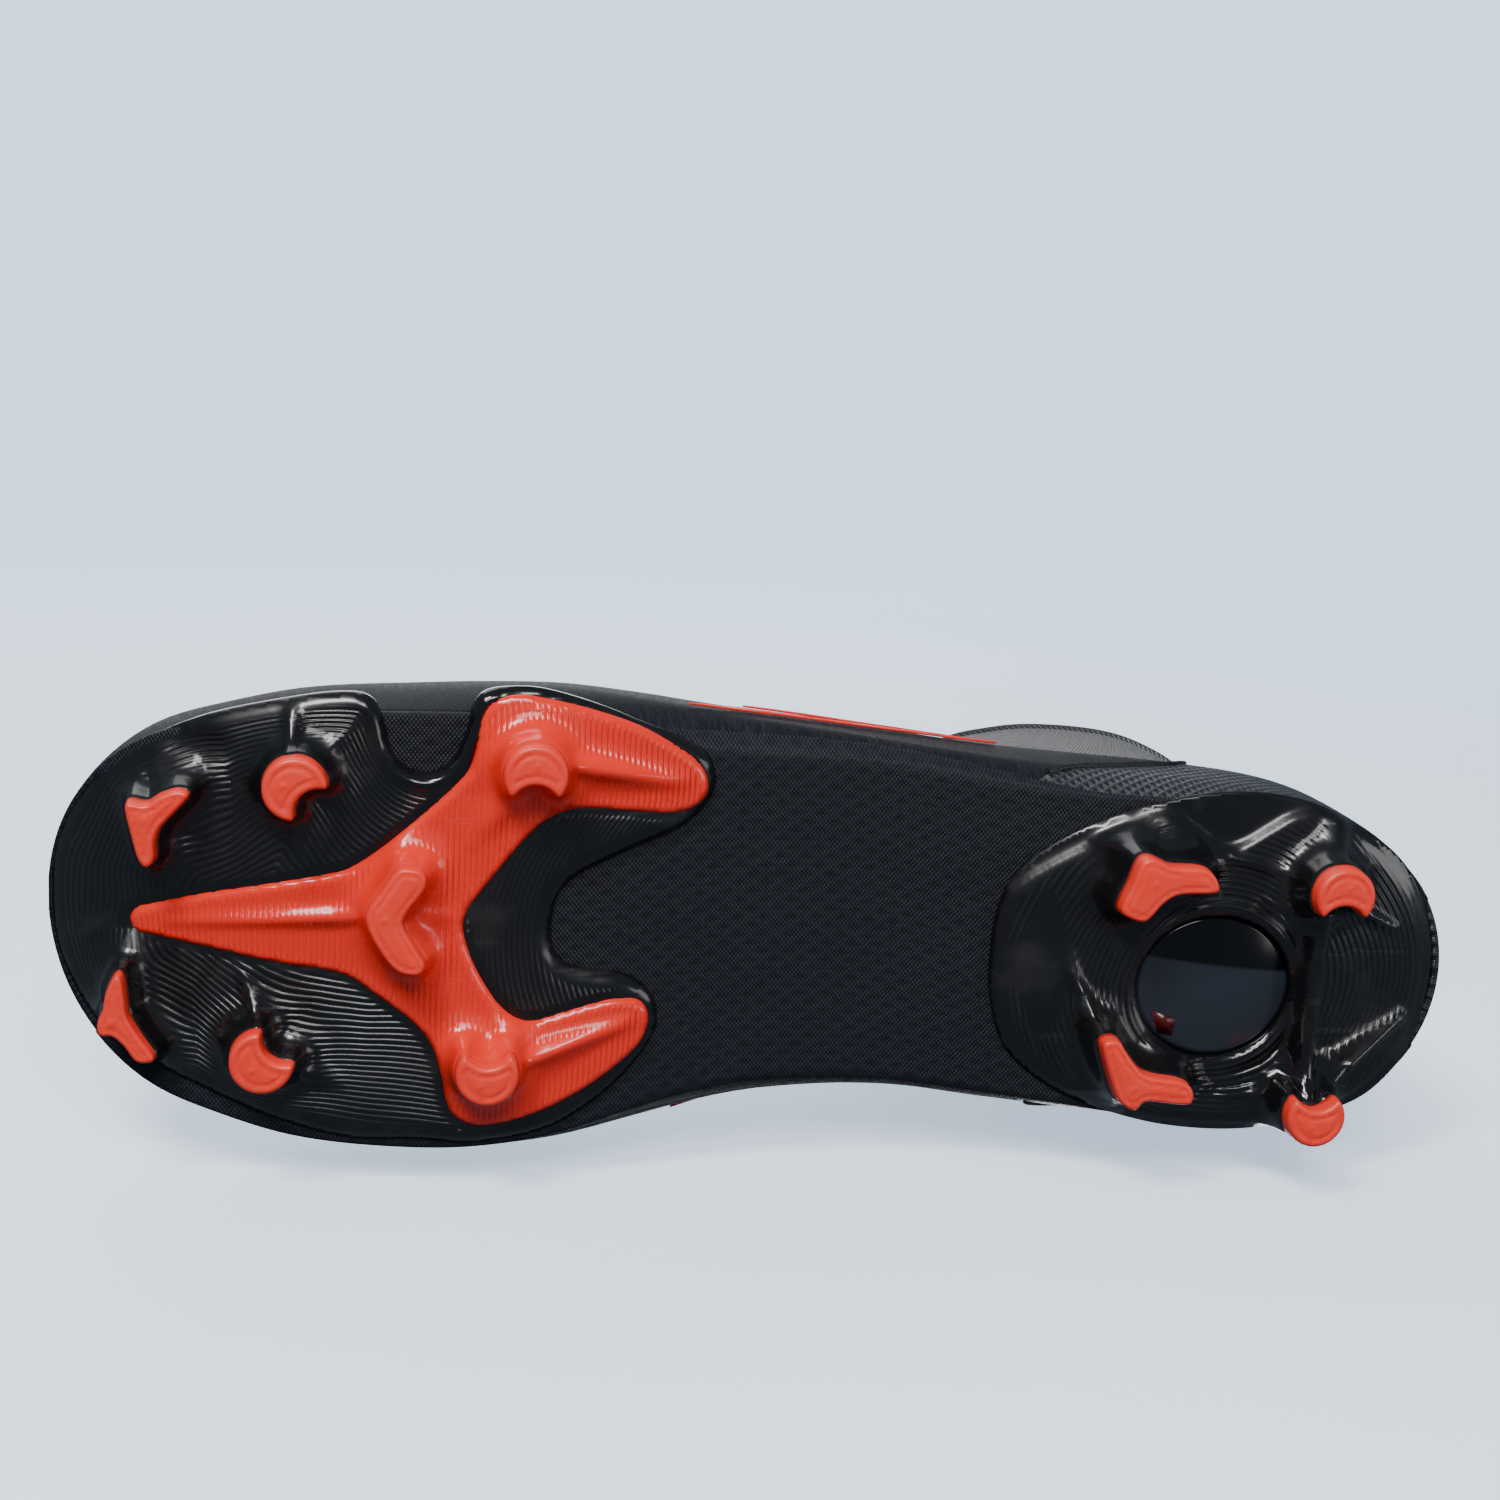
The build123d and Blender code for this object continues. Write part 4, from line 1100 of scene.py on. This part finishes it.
# --- materials ---
class Shader:
    """A Principled material and short ways to build its node tree."""

    def __init__(self, name, colour, roughness, **values):
        self.material = bpy.data.materials.new(name)
        self.material.use_nodes = True
        self.tree = self.material.node_tree
        self.bsdf = self.tree.nodes["Principled BSDF"]
        self.bsdf.inputs["Base Color"].default_value = (*colour, 1)
        self.bsdf.inputs["Roughness"].default_value = roughness
        for key, value in values.items():
            self.bsdf.inputs[key.replace("_", " ")].default_value = value
        self.colour = colour

    def node(self, kind, **settings):
        made = self.tree.nodes.new(kind)
        for key, value in settings.items():
            setattr(made, key, value)
        return made

    def put(self, socket, value):
        if isinstance(value, bpy.types.NodeSocket):
            self.tree.links.new(value, socket)
        else:
            socket.default_value = value

    def math(self, operation, *inputs):
        made = self.node("ShaderNodeMath", operation=operation)
        for socket, value in zip(made.inputs, inputs):
            self.put(socket, value)
        return made.outputs[0]

    def attribute(self, name, scalar=False):
        made = self.node("ShaderNodeAttribute", attribute_name=name)
        return made.outputs["Fac" if scalar else "Vector"]

    def place(self):
        return self.node("ShaderNodeTexCoord").outputs["Object"]

    def split(self, vector):
        made = self.node("ShaderNodeSeparateXYZ")
        self.put(made.inputs[0], vector)
        return made.outputs[0], made.outputs[1]

    def wave(self, value, pitch):
        """Cosine of a length in its own pitch, from -1 to 1."""
        return self.math("COSINE", self.math("MULTIPLY", value, 2 * math.pi / pitch))

    def product(self, a, b):
        return self.math("MULTIPLY", a, b)

    def weave(self, u, v, warp, weft):
        return self.product(self.wave(u, warp), self.wave(v, weft))

    def diamonds(self, u, v, pitch):
        rising = self.wave(self.math("ADD", u, v), pitch)
        return self.math("MAXIMUM", rising, self.wave(self.math("SUBTRACT", u, v), pitch))

    def noise(self, vector, scale, detail=3.0, stretch=(1, 1, 1), turn=0.0):
        mapped = self.node("ShaderNodeMapping")
        self.put(mapped.inputs["Vector"], vector)
        mapped.inputs["Scale"].default_value = stretch
        mapped.inputs["Rotation"].default_value = (0, 0, turn)
        made = self.node("ShaderNodeTexNoise")
        self.put(made.inputs["Vector"], mapped.outputs[0])
        made.inputs["Scale"].default_value = scale
        made.inputs["Detail"].default_value = detail
        return made.outputs["Fac"]

    def spread(self, value, low, high, out_low=0.0, out_high=1.0):
        made = self.node("ShaderNodeMapRange")
        self.put(made.inputs["Value"], value)
        for key, number in (("From Min", low), ("From Max", high), ("To Min", out_low), ("To Max", out_high)):
            made.inputs[key].default_value = number
        return made.outputs[0]

    def shades(self, factor, other):
        """Blend from the base colour to another one."""
        made = self.node("ShaderNodeMix", data_type="RGBA")
        self.put(made.inputs["Factor"], factor)
        made.inputs[6].default_value = (*self.colour, 1)
        made.inputs[7].default_value = (*other, 1)
        self.put(self.bsdf.inputs["Base Color"], made.outputs[2])

    def rough(self, value):
        self.put(self.bsdf.inputs["Roughness"], value)

    def bump(self, height, depth, before=None):
        """Bump of a depth in millimetres."""
        made = self.node("ShaderNodeBump")
        made.inputs["Strength"].default_value = 1.0
        made.inputs["Distance"].default_value = depth * MM
        self.put(made.inputs["Height"], height)
        if before is not None:
            self.put(made.inputs["Normal"], before)
        self.put(self.bsdf.inputs["Normal"], made.outputs[0])
        return made.outputs[0]

    def creased(self, height, depth, crease_scale, crease_depth, detail=3):
        """Bump of a fine relief over soft creases."""
        fine = self.bump(height, depth)
        self.bump(self.noise(self.place(), crease_scale, detail), crease_depth, fine)


def grooved(name, colour, roughness, pitch, depth, scuff, scuff_and_shading_colour, **values):
    """Glossy moulded plastic with fine parallel lines, smudges, scuffs and painted shading along the crests of
    the lines.
    """
    m = Shader(name, colour, roughness, **values)
    lines = m.wave(m.attribute("phase", True), pitch)
    masked = m.product(lines, m.attribute("grain", True))
    m.creased(masked, depth, 240, 0.05, 4)
    smudge = m.spread(m.noise(m.place(), 42, 5), 0.35, 0.7, roughness * 0.8, roughness * 1.9)
    scratches = m.spread(m.noise(m.place(), 300, 2, (0.08, 1, 1), 0.6), 0.66, 0.72, 0, 0.25)
    m.rough(m.math("ADD", smudge, scratches))
    dirt = m.product(m.spread(m.noise(m.place(), 90, 6), 0.56, 0.75), scuff)
    # painted shading: the crests of the fine lines are painted in the scuff colour, as light and shade would
    # show them
    painted_line_shading = m.product(m.spread(masked, 0.2, 1.0), 0.16)
    m.shades(m.math("MAXIMUM", dirt, painted_line_shading), scuff_and_shading_colour)
    return m.material


def cloth(name, colour, other, roughness, warp, weft, depth, sheen):
    """Woven cloth in its own flow directions."""
    m = Shader(name, colour, roughness, Sheen_Weight=sheen, Sheen_Roughness=0.5)
    u, v = m.split(m.attribute("flow"))
    weave = m.weave(u, v, warp, weft)
    fuzz = m.noise(m.attribute("flow"), 2.2, 3)
    height = m.math("ADD", weave, m.product(fuzz, 0.9))
    m.creased(height, depth, 60, 0.4)
    m.shades(m.product(m.spread(height, -0.4, 1.4), m.spread(fuzz, 0.3, 0.8, 0.7, 1)), other)
    return m.material


def knit_ribs(name, colour, other, roughness, rib, stitch, depth):
    """Rib knit with chevron stitches, running up the shoe."""
    m = Shader(name, colour, roughness, Sheen_Weight=0.3, Sheen_Roughness=0.4)
    u, v = m.split(m.attribute("flow"))
    ribs = m.math("ABSOLUTE", m.wave(u, rib * 2))
    legs = m.wave(m.math("ADD", v, m.product(ribs, stitch * 0.7)), stitch)
    fuzz = m.noise(m.attribute("flow"), 1.8, 3)
    height = m.math("ADD", m.product(ribs, 1.4), m.product(legs, 0.5))
    height = m.math("ADD", height, m.product(fuzz, 0.5))
    m.creased(height, depth, 50, 0.5)
    m.shades(m.spread(height, 0.2, 2.2), other)
    return m.material


def upper_knit():
    """Satin woven upper, with slanting brushed lines that fade into a woven grain over the toes."""
    m = Shader("upper_knit", (0.0085, 0.0095, 0.013), 0.6, Specular_IOR_Level=0.1)
    u, v = m.split(m.attribute("flow"))
    weave = m.weave(u, v, 1.1, 0.9)
    slant = m.math("ADD", u, m.product(v, 1.3))
    lines = m.wave(m.math("ADD", slant, m.noise(m.attribute("flow"), 0.25, 3)), 1.9)
    brushed = m.noise(m.attribute("flow"), 1.4, 4, (1, 0.12, 1), 0.9)
    height = m.math("ADD", m.product(weave, 0.3), m.product(lines, 0.12))
    height = m.math("ADD", height, m.product(brushed, 1.3))
    m.creased(height, 0.13, 55, 0.5)
    m.shades(m.spread(brushed, 0.42, 0.75), (0.026, 0.028, 0.036))
    m.rough(m.spread(brushed, 0.3, 0.75, 0.5, 0.68))
    return m.material


def heel_mesh_cloth():
    """Coated mesh with raised diamonds."""
    m = Shader("heel_mesh", (0.010, 0.011, 0.015), 0.34, Coat_Weight=0.25, Coat_Roughness=0.3)
    u, v = m.split(m.attribute("flow"))
    diamonds = m.diamonds(u, v, 2.9)
    thread = m.weave(u, v, 0.5, 0.5)
    height = m.math("ADD", diamonds, m.product(thread, 0.2))
    m.creased(height, 0.22, 55, 0.4)
    m.shades(m.spread(diamonds, 0.2, 1.0), (0.03, 0.031, 0.038))
    return m.material


def skin_cloth():
    """Textured skin under the waist: weave with faint diamonds."""
    m = Shader("skin_textured", (0.0065, 0.007, 0.0115), 0.55, Specular_IOR_Level=0.3)
    u, v = m.split(m.attribute("flow"))
    weave = m.weave(u, v, 1.1, 0.85)
    diamonds = m.diamonds(m.product(u, 1.5), v, 5.6)
    height = m.math("ADD", weave, m.product(diamonds, 0.5))
    m.creased(height, 0.09, 50, 0.5, 4)
    m.shades(m.spread(height, 0.1, 1.9), (0.022, 0.024, 0.036))
    return m.material


def braid(name, colour, other, roughness, pitch, depth):
    """Braided or herringbone tape."""
    m = Shader(name, colour, roughness, Sheen_Weight=0.25)
    u, v = m.split(m.attribute("flow"))
    zigzag = m.math("ABSOLUTE", m.math("SUBTRACT", m.math("PINGPONG", u, pitch * 1.6), pitch * 0.8))
    height = m.wave(m.math("ADD", v, zigzag), pitch)
    fuzz = m.noise(m.attribute("flow"), 3.0, 3)
    height = m.math("ADD", height, m.product(fuzz, 0.7))
    m.bump(height, depth)
    m.shades(m.spread(height, -0.6, 1.4), other)
    return m.material


def plain(name, colour, other, roughness, scale, depth, **values):
    """Plain finish with a fine grain and slight mottling."""
    m = Shader(name, colour, roughness, **values)
    grain = m.noise(m.place(), scale, 4)
    m.bump(grain, depth)
    m.rough(m.spread(m.noise(m.place(), scale / 8, 4), 0.3, 0.7, roughness * 0.8, roughness * 1.35))
    m.shades(m.spread(m.noise(m.place(), scale / 5, 5), 0.45, 0.75), other)
    return m.material


def smoked_window():
    """Smoke-black lens whose medial half is painted paler, as a painted reflection."""
    m = Shader("window_smoke", (0.002, 0.002, 0.0025), 0.14)
    along, across = m.split(m.place())
    # painted reflection: the medial half of the lens is painted a paler blue-grey
    m.shades(m.spread(m.math("SUBTRACT", across, m.product(along, 0.1)), -0.0045, -0.0037),
             (0.022, 0.026, 0.036))
    m.rough(m.spread(m.noise(m.place(), 60, 4), 0.3, 0.7, 0.1, 0.2))
    return m.material


# Scuff colours: used for dirt, and also for the painted shading along the crests of the fine lines.
BLACK_SCUFF_AND_SHADING = (0.05, 0.048, 0.046)
FINISH = {
    "plate_black": grooved("plate_black", (0.0045, 0.0045, 0.005), 0.2, 1.2, 0.12, 0.3, BLACK_SCUFF_AND_SHADING,
                           Coat_Weight=0.35, Coat_Roughness=0.1),
    "chassis_red": grooved("chassis_red", (0.95, 0.030, 0.013), 0.17, 1.15, 0.14, 0.25, (0.82, 0.028, 0.014),
                           Coat_Weight=0.4, Coat_Roughness=0.08,
                           Subsurface_Weight=0.12, Subsurface_Scale=0.003),
    "stud_red": plain("stud_red", (1.0, 0.052, 0.028), (0.95, 0.042, 0.022), 0.36, 900, 0.05,
                      Subsurface_Weight=0.1, Subsurface_Scale=0.003),
    "trim_red": plain("trim_red", (0.85, 0.025, 0.015), (0.7, 0.02, 0.012), 0.5, 700, 0.04,
                      Specular_IOR_Level=0.25),
    "window_smoke": smoked_window(),
    "tag_red": plain("tag_red", (0.07, 0.003, 0.004), (0.04, 0.002, 0.003), 0.3, 900, 0.03),
    "upper_knit": upper_knit(),
    "heel_mesh": heel_mesh_cloth(),
    "skin_textured": skin_cloth(),
    "collar_knit": knit_ribs("collar_knit", (0.007, 0.0075, 0.010), (0.03, 0.031, 0.037), 0.75, 2.3, 1.5, 0.42),
    "film_black": cloth("film_black", (0.008, 0.008, 0.010), (0.016, 0.016, 0.019), 0.35, 1.6, 1.6, 0.05,
                        sheen=0.0),
    "eyelet": plain("eyelet", (0.07, 0.07, 0.075), (0.03, 0.03, 0.033), 0.28, 900, 0.03, Metallic=1.0),
    "lace": braid("lace", (0.010, 0.010, 0.013), (0.05, 0.05, 0.058), 0.7, 0.85, 0.16),
    "lining": cloth("lining", (0.010, 0.010, 0.013), (0.035, 0.035, 0.042), 0.85, 0.9, 0.7, 0.16, sheen=0.35),
    "tape": braid("tape", (0.008, 0.008, 0.010), (0.035, 0.035, 0.04), 0.7, 1.5, 0.18),
    "insole": cloth("insole", (0.014, 0.014, 0.017), (0.045, 0.045, 0.052), 0.8, 1.1, 1.1, 0.14, sheen=0.3),
    "board": plain("board", (0.04, 0.038, 0.036), (0.07, 0.066, 0.06), 0.8, 500, 0.15),
    "thread": plain("thread", (0.03, 0.03, 0.035), (0.05, 0.05, 0.055), 0.6, 2500, 0.1, Sheen_Weight=0.3),
}


def dress(piece, finish):
    """Give a piece its finish, under the name of its slot."""
    piece.data.materials.clear()
    piece.data.materials.append(FINISH[finish])


# --- which piece stands for which part, and what it moves with ---
def fixed(piece, finish, *nodes, body="hindfoot", slot=None):
    """Piece that rides rigidly on one body."""
    dress(piece, finish)
    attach(piece, body)
    if nodes:
        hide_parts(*nodes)


SOLE_BEND = ((-0.0845, 0, 0.017), (-0.0915, 0, 0.017))
UPPER_BEND = ((-0.072, 0, 0.017), (-0.104, 0, 0.017))


def bending(piece, finish, bend, *nodes):
    """Piece given its finish and baked into place, with the CAD parts it replaces hidden; it rides on no body.
    """
    dress(piece, finish)
    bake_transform(piece)
    if nodes:
        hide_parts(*nodes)


bending(forefoot, "plate_black", SOLE_BEND, "forefoot_plate", "toe_plate")
bending(chassis, "chassis_red", SOLE_BEND, "chassis_fork", "chassis_spine")
fixed(heel, "plate_black", "heel_plate")
fixed(window, "window_smoke", "heel_window")
fixed(window_tag, "tag_red", slot="window_smoke")
for name, tip in tips.items():
    fixed(tip, "stud_red", name, body="toe" if name in TOE_STUDS else "hindfoot")

bending(knit, "upper_knit", UPPER_BEND,
        "toe_box", "vamp", "vamp_flex_panel", "quarter_lateral", "quarter_medial")
fixed(heel_mesh, "heel_mesh", "heel_quarter")
fixed(collar, "collar_knit", "ankle_collar")
fixed(collar_edge, "collar_knit")
fixed(lining, "lining", "collar_padding")
fixed(tongue, "collar_knit", "tongue")
for label, film in eyestays.items():
    fixed(film, "film_black", f"eyestay_{label}")
for node, film in stripes.items():
    fixed(film, "trim_red", node)
bending(skin, "skin_textured", UPPER_BEND, "midfoot_skin")
bending(board, "board", UPPER_BEND, "lasting_board")
bending(insole, "insole", UPPER_BEND, "insole")
fixed(eyelets, "eyelet", "eyelets")
fixed(lace, "lace", "lace")
fixed(collar_seam, "film_black")
fixed(heel_seam, "film_black")
fixed(stay_stitches, "thread", slot="lace")
fixed(collar_stitches, "thread", slot="lace")
fixed(tab, "tape", "pull_tab", body="tab")
fixed(tab_edge_stitches, "thread", body="tab", slot="tape")
fixed(anchor, "tape", "tab_anchor")
fixed(tab_stitches, "thread", slot="tape")
for node in ("toe_puff", "heel_counter"):
    inner_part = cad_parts[node]
    inner_part.data.materials.clear()
    inner_part.data.materials.append(FINISH["board"])

# --- camera ---
right = Vector((0.99005, -0.05099, -0.13112))
down = Vector((0.02476, 0.98061, -0.19442))
forward = Vector((0.13849, 0.18924, 0.97211))
EYE = Vector((-0.0690, -0.1210, -0.4095))
FOCAL_LENGTH = 51.6
camera_data = bpy.data.cameras.new("camera")
camera_data.lens = FOCAL_LENGTH
camera = bpy.data.objects.new("camera", camera_data)
camera.matrix_world = Matrix.Translation(EYE) @ Matrix((right, -down, -forward)).transposed().to_4x4()
bpy.context.scene.collection.objects.link(camera)
bpy.context.scene.camera = camera


# --- floor, backdrop and lights ---
SKY = (1.32, 1.72, 2.2)
GLOW = 0.45


def glowing(name, colour, roughness, strength):
    """Surface of the set that gives off a sky colour."""
    m = Shader(name, colour, roughness, Specular_IOR_Level=0.0)
    m.bsdf.inputs["Emission Color"].default_value = (*SKY, 1)
    m.bsdf.inputs["Emission Strength"].default_value = strength
    return m


def one_sided(name, middle, fade_from, fade_to):
    """Pale surface seen from its front only, fading out with the distance from a point."""
    m = glowing(name, (0.90, 0.94, 0.98), 0.95, GLOW)
    geometry = m.node("ShaderNodeNewGeometry")
    spot = m.node("ShaderNodeVectorMath", operation="DISTANCE")
    m.put(spot.inputs[0], geometry.outputs["Position"])
    spot.inputs[1].default_value = middle
    far = m.node("ShaderNodeMapRange", interpolation_type="SMOOTHSTEP")
    m.put(far.inputs["Value"], spot.outputs["Value"])
    far.inputs["From Min"].default_value = fade_from
    far.inputs["From Max"].default_value = fade_to
    hidden = m.math("MAXIMUM", far.outputs[0], geometry.outputs["Backfacing"])
    clear = m.node("ShaderNodeBsdfTransparent")
    mixed = m.node("ShaderNodeMixShader")
    m.put(mixed.inputs[0], hidden)
    m.put(mixed.inputs[1], m.bsdf.outputs[0])
    m.put(mixed.inputs[2], clear.outputs[0])
    m.put(m.tree.nodes["Material Output"].inputs["Surface"], mixed.outputs[0])
    return m.material


def unlit_screen(piece, material):
    """Part of the set: it is seen, but neither lights the shoe nor shows in its gloss."""
    piece.data.materials.append(material)
    for rays in ("diffuse", "glossy", "transmission", "shadow"):
        setattr(piece, "visible_" + rays, False)


def sheet_object(name, corners):
    """Flat four-cornered piece of the set."""
    mesh = bpy.data.meshes.new(name)
    mesh.from_pydata(corners, [], [(0, 1, 2, 3)])
    piece = bpy.data.objects.new(name, mesh)
    bpy.context.scene.collection.objects.link(piece)
    return piece


unlit_screen(sheet_object("floor", [(-2, -2, -0.0005), (2, -2, -0.0005), (2, 2, -0.0005), (-2, 2, -0.0005)]),
             one_sided("floor_matt", (0, 0, 0), 0.3, 1.5))
unlit_screen(sheet_object("backdrop", [(-2, 0.055, 2), (-2, 0.055, -2), (2, 0.055, -2), (2, 0.055, 2)]),
             one_sided("backdrop_matt", (0, 0.055, 0.02), 0.3, 1.2))
bpy.ops.mesh.primitive_uv_sphere_add(segments=48, ring_count=24, radius=5)
unlit_screen(bpy.context.object, glowing("surroundings", (0, 0, 0), 1.0, 1.0).material)

world = bpy.data.worlds.new("studio")
world.use_nodes = True
world.node_tree.nodes["Background"].inputs["Color"].default_value = (0.60, 0.72, 0.90, 1)
world.node_tree.nodes["Background"].inputs["Strength"].default_value = 0.22
bpy.context.scene.world = world


def softbox(name, location, size, power):
    """Soft rectangular lamp that faces the shoe."""
    lamp = bpy.data.lights.new(name, "AREA")
    lamp.shape = "RECTANGLE"
    lamp.size, lamp.size_y = size
    lamp.energy = power
    piece = bpy.data.objects.new(name, lamp)
    piece.location = location
    piece.rotation_euler = (Vector((0, 0, 0.03)) - Vector(location)).to_track_quat("-Z", "Y").to_euler()
    bpy.context.scene.collection.objects.link(piece)


softbox("key", (-0.42, -0.95, -0.62), (0.34, 0.26), 10)
softbox("front", (-0.05, -0.85, -1.0), (0.5, 0.4), 9)
softbox("rim", (0.9, -0.1, -0.5), (0.3, 0.6), 1.5)
softbox("top", (-0.1, -0.3, 1.2), (0.9, 0.9), 7)
softbox("side", (0.6, 0.7, 1.2), (0.7, 0.7), 5)
softbox("lateral", (-0.3, -1.0, 0.8), (0.9, 0.6), 3.5)
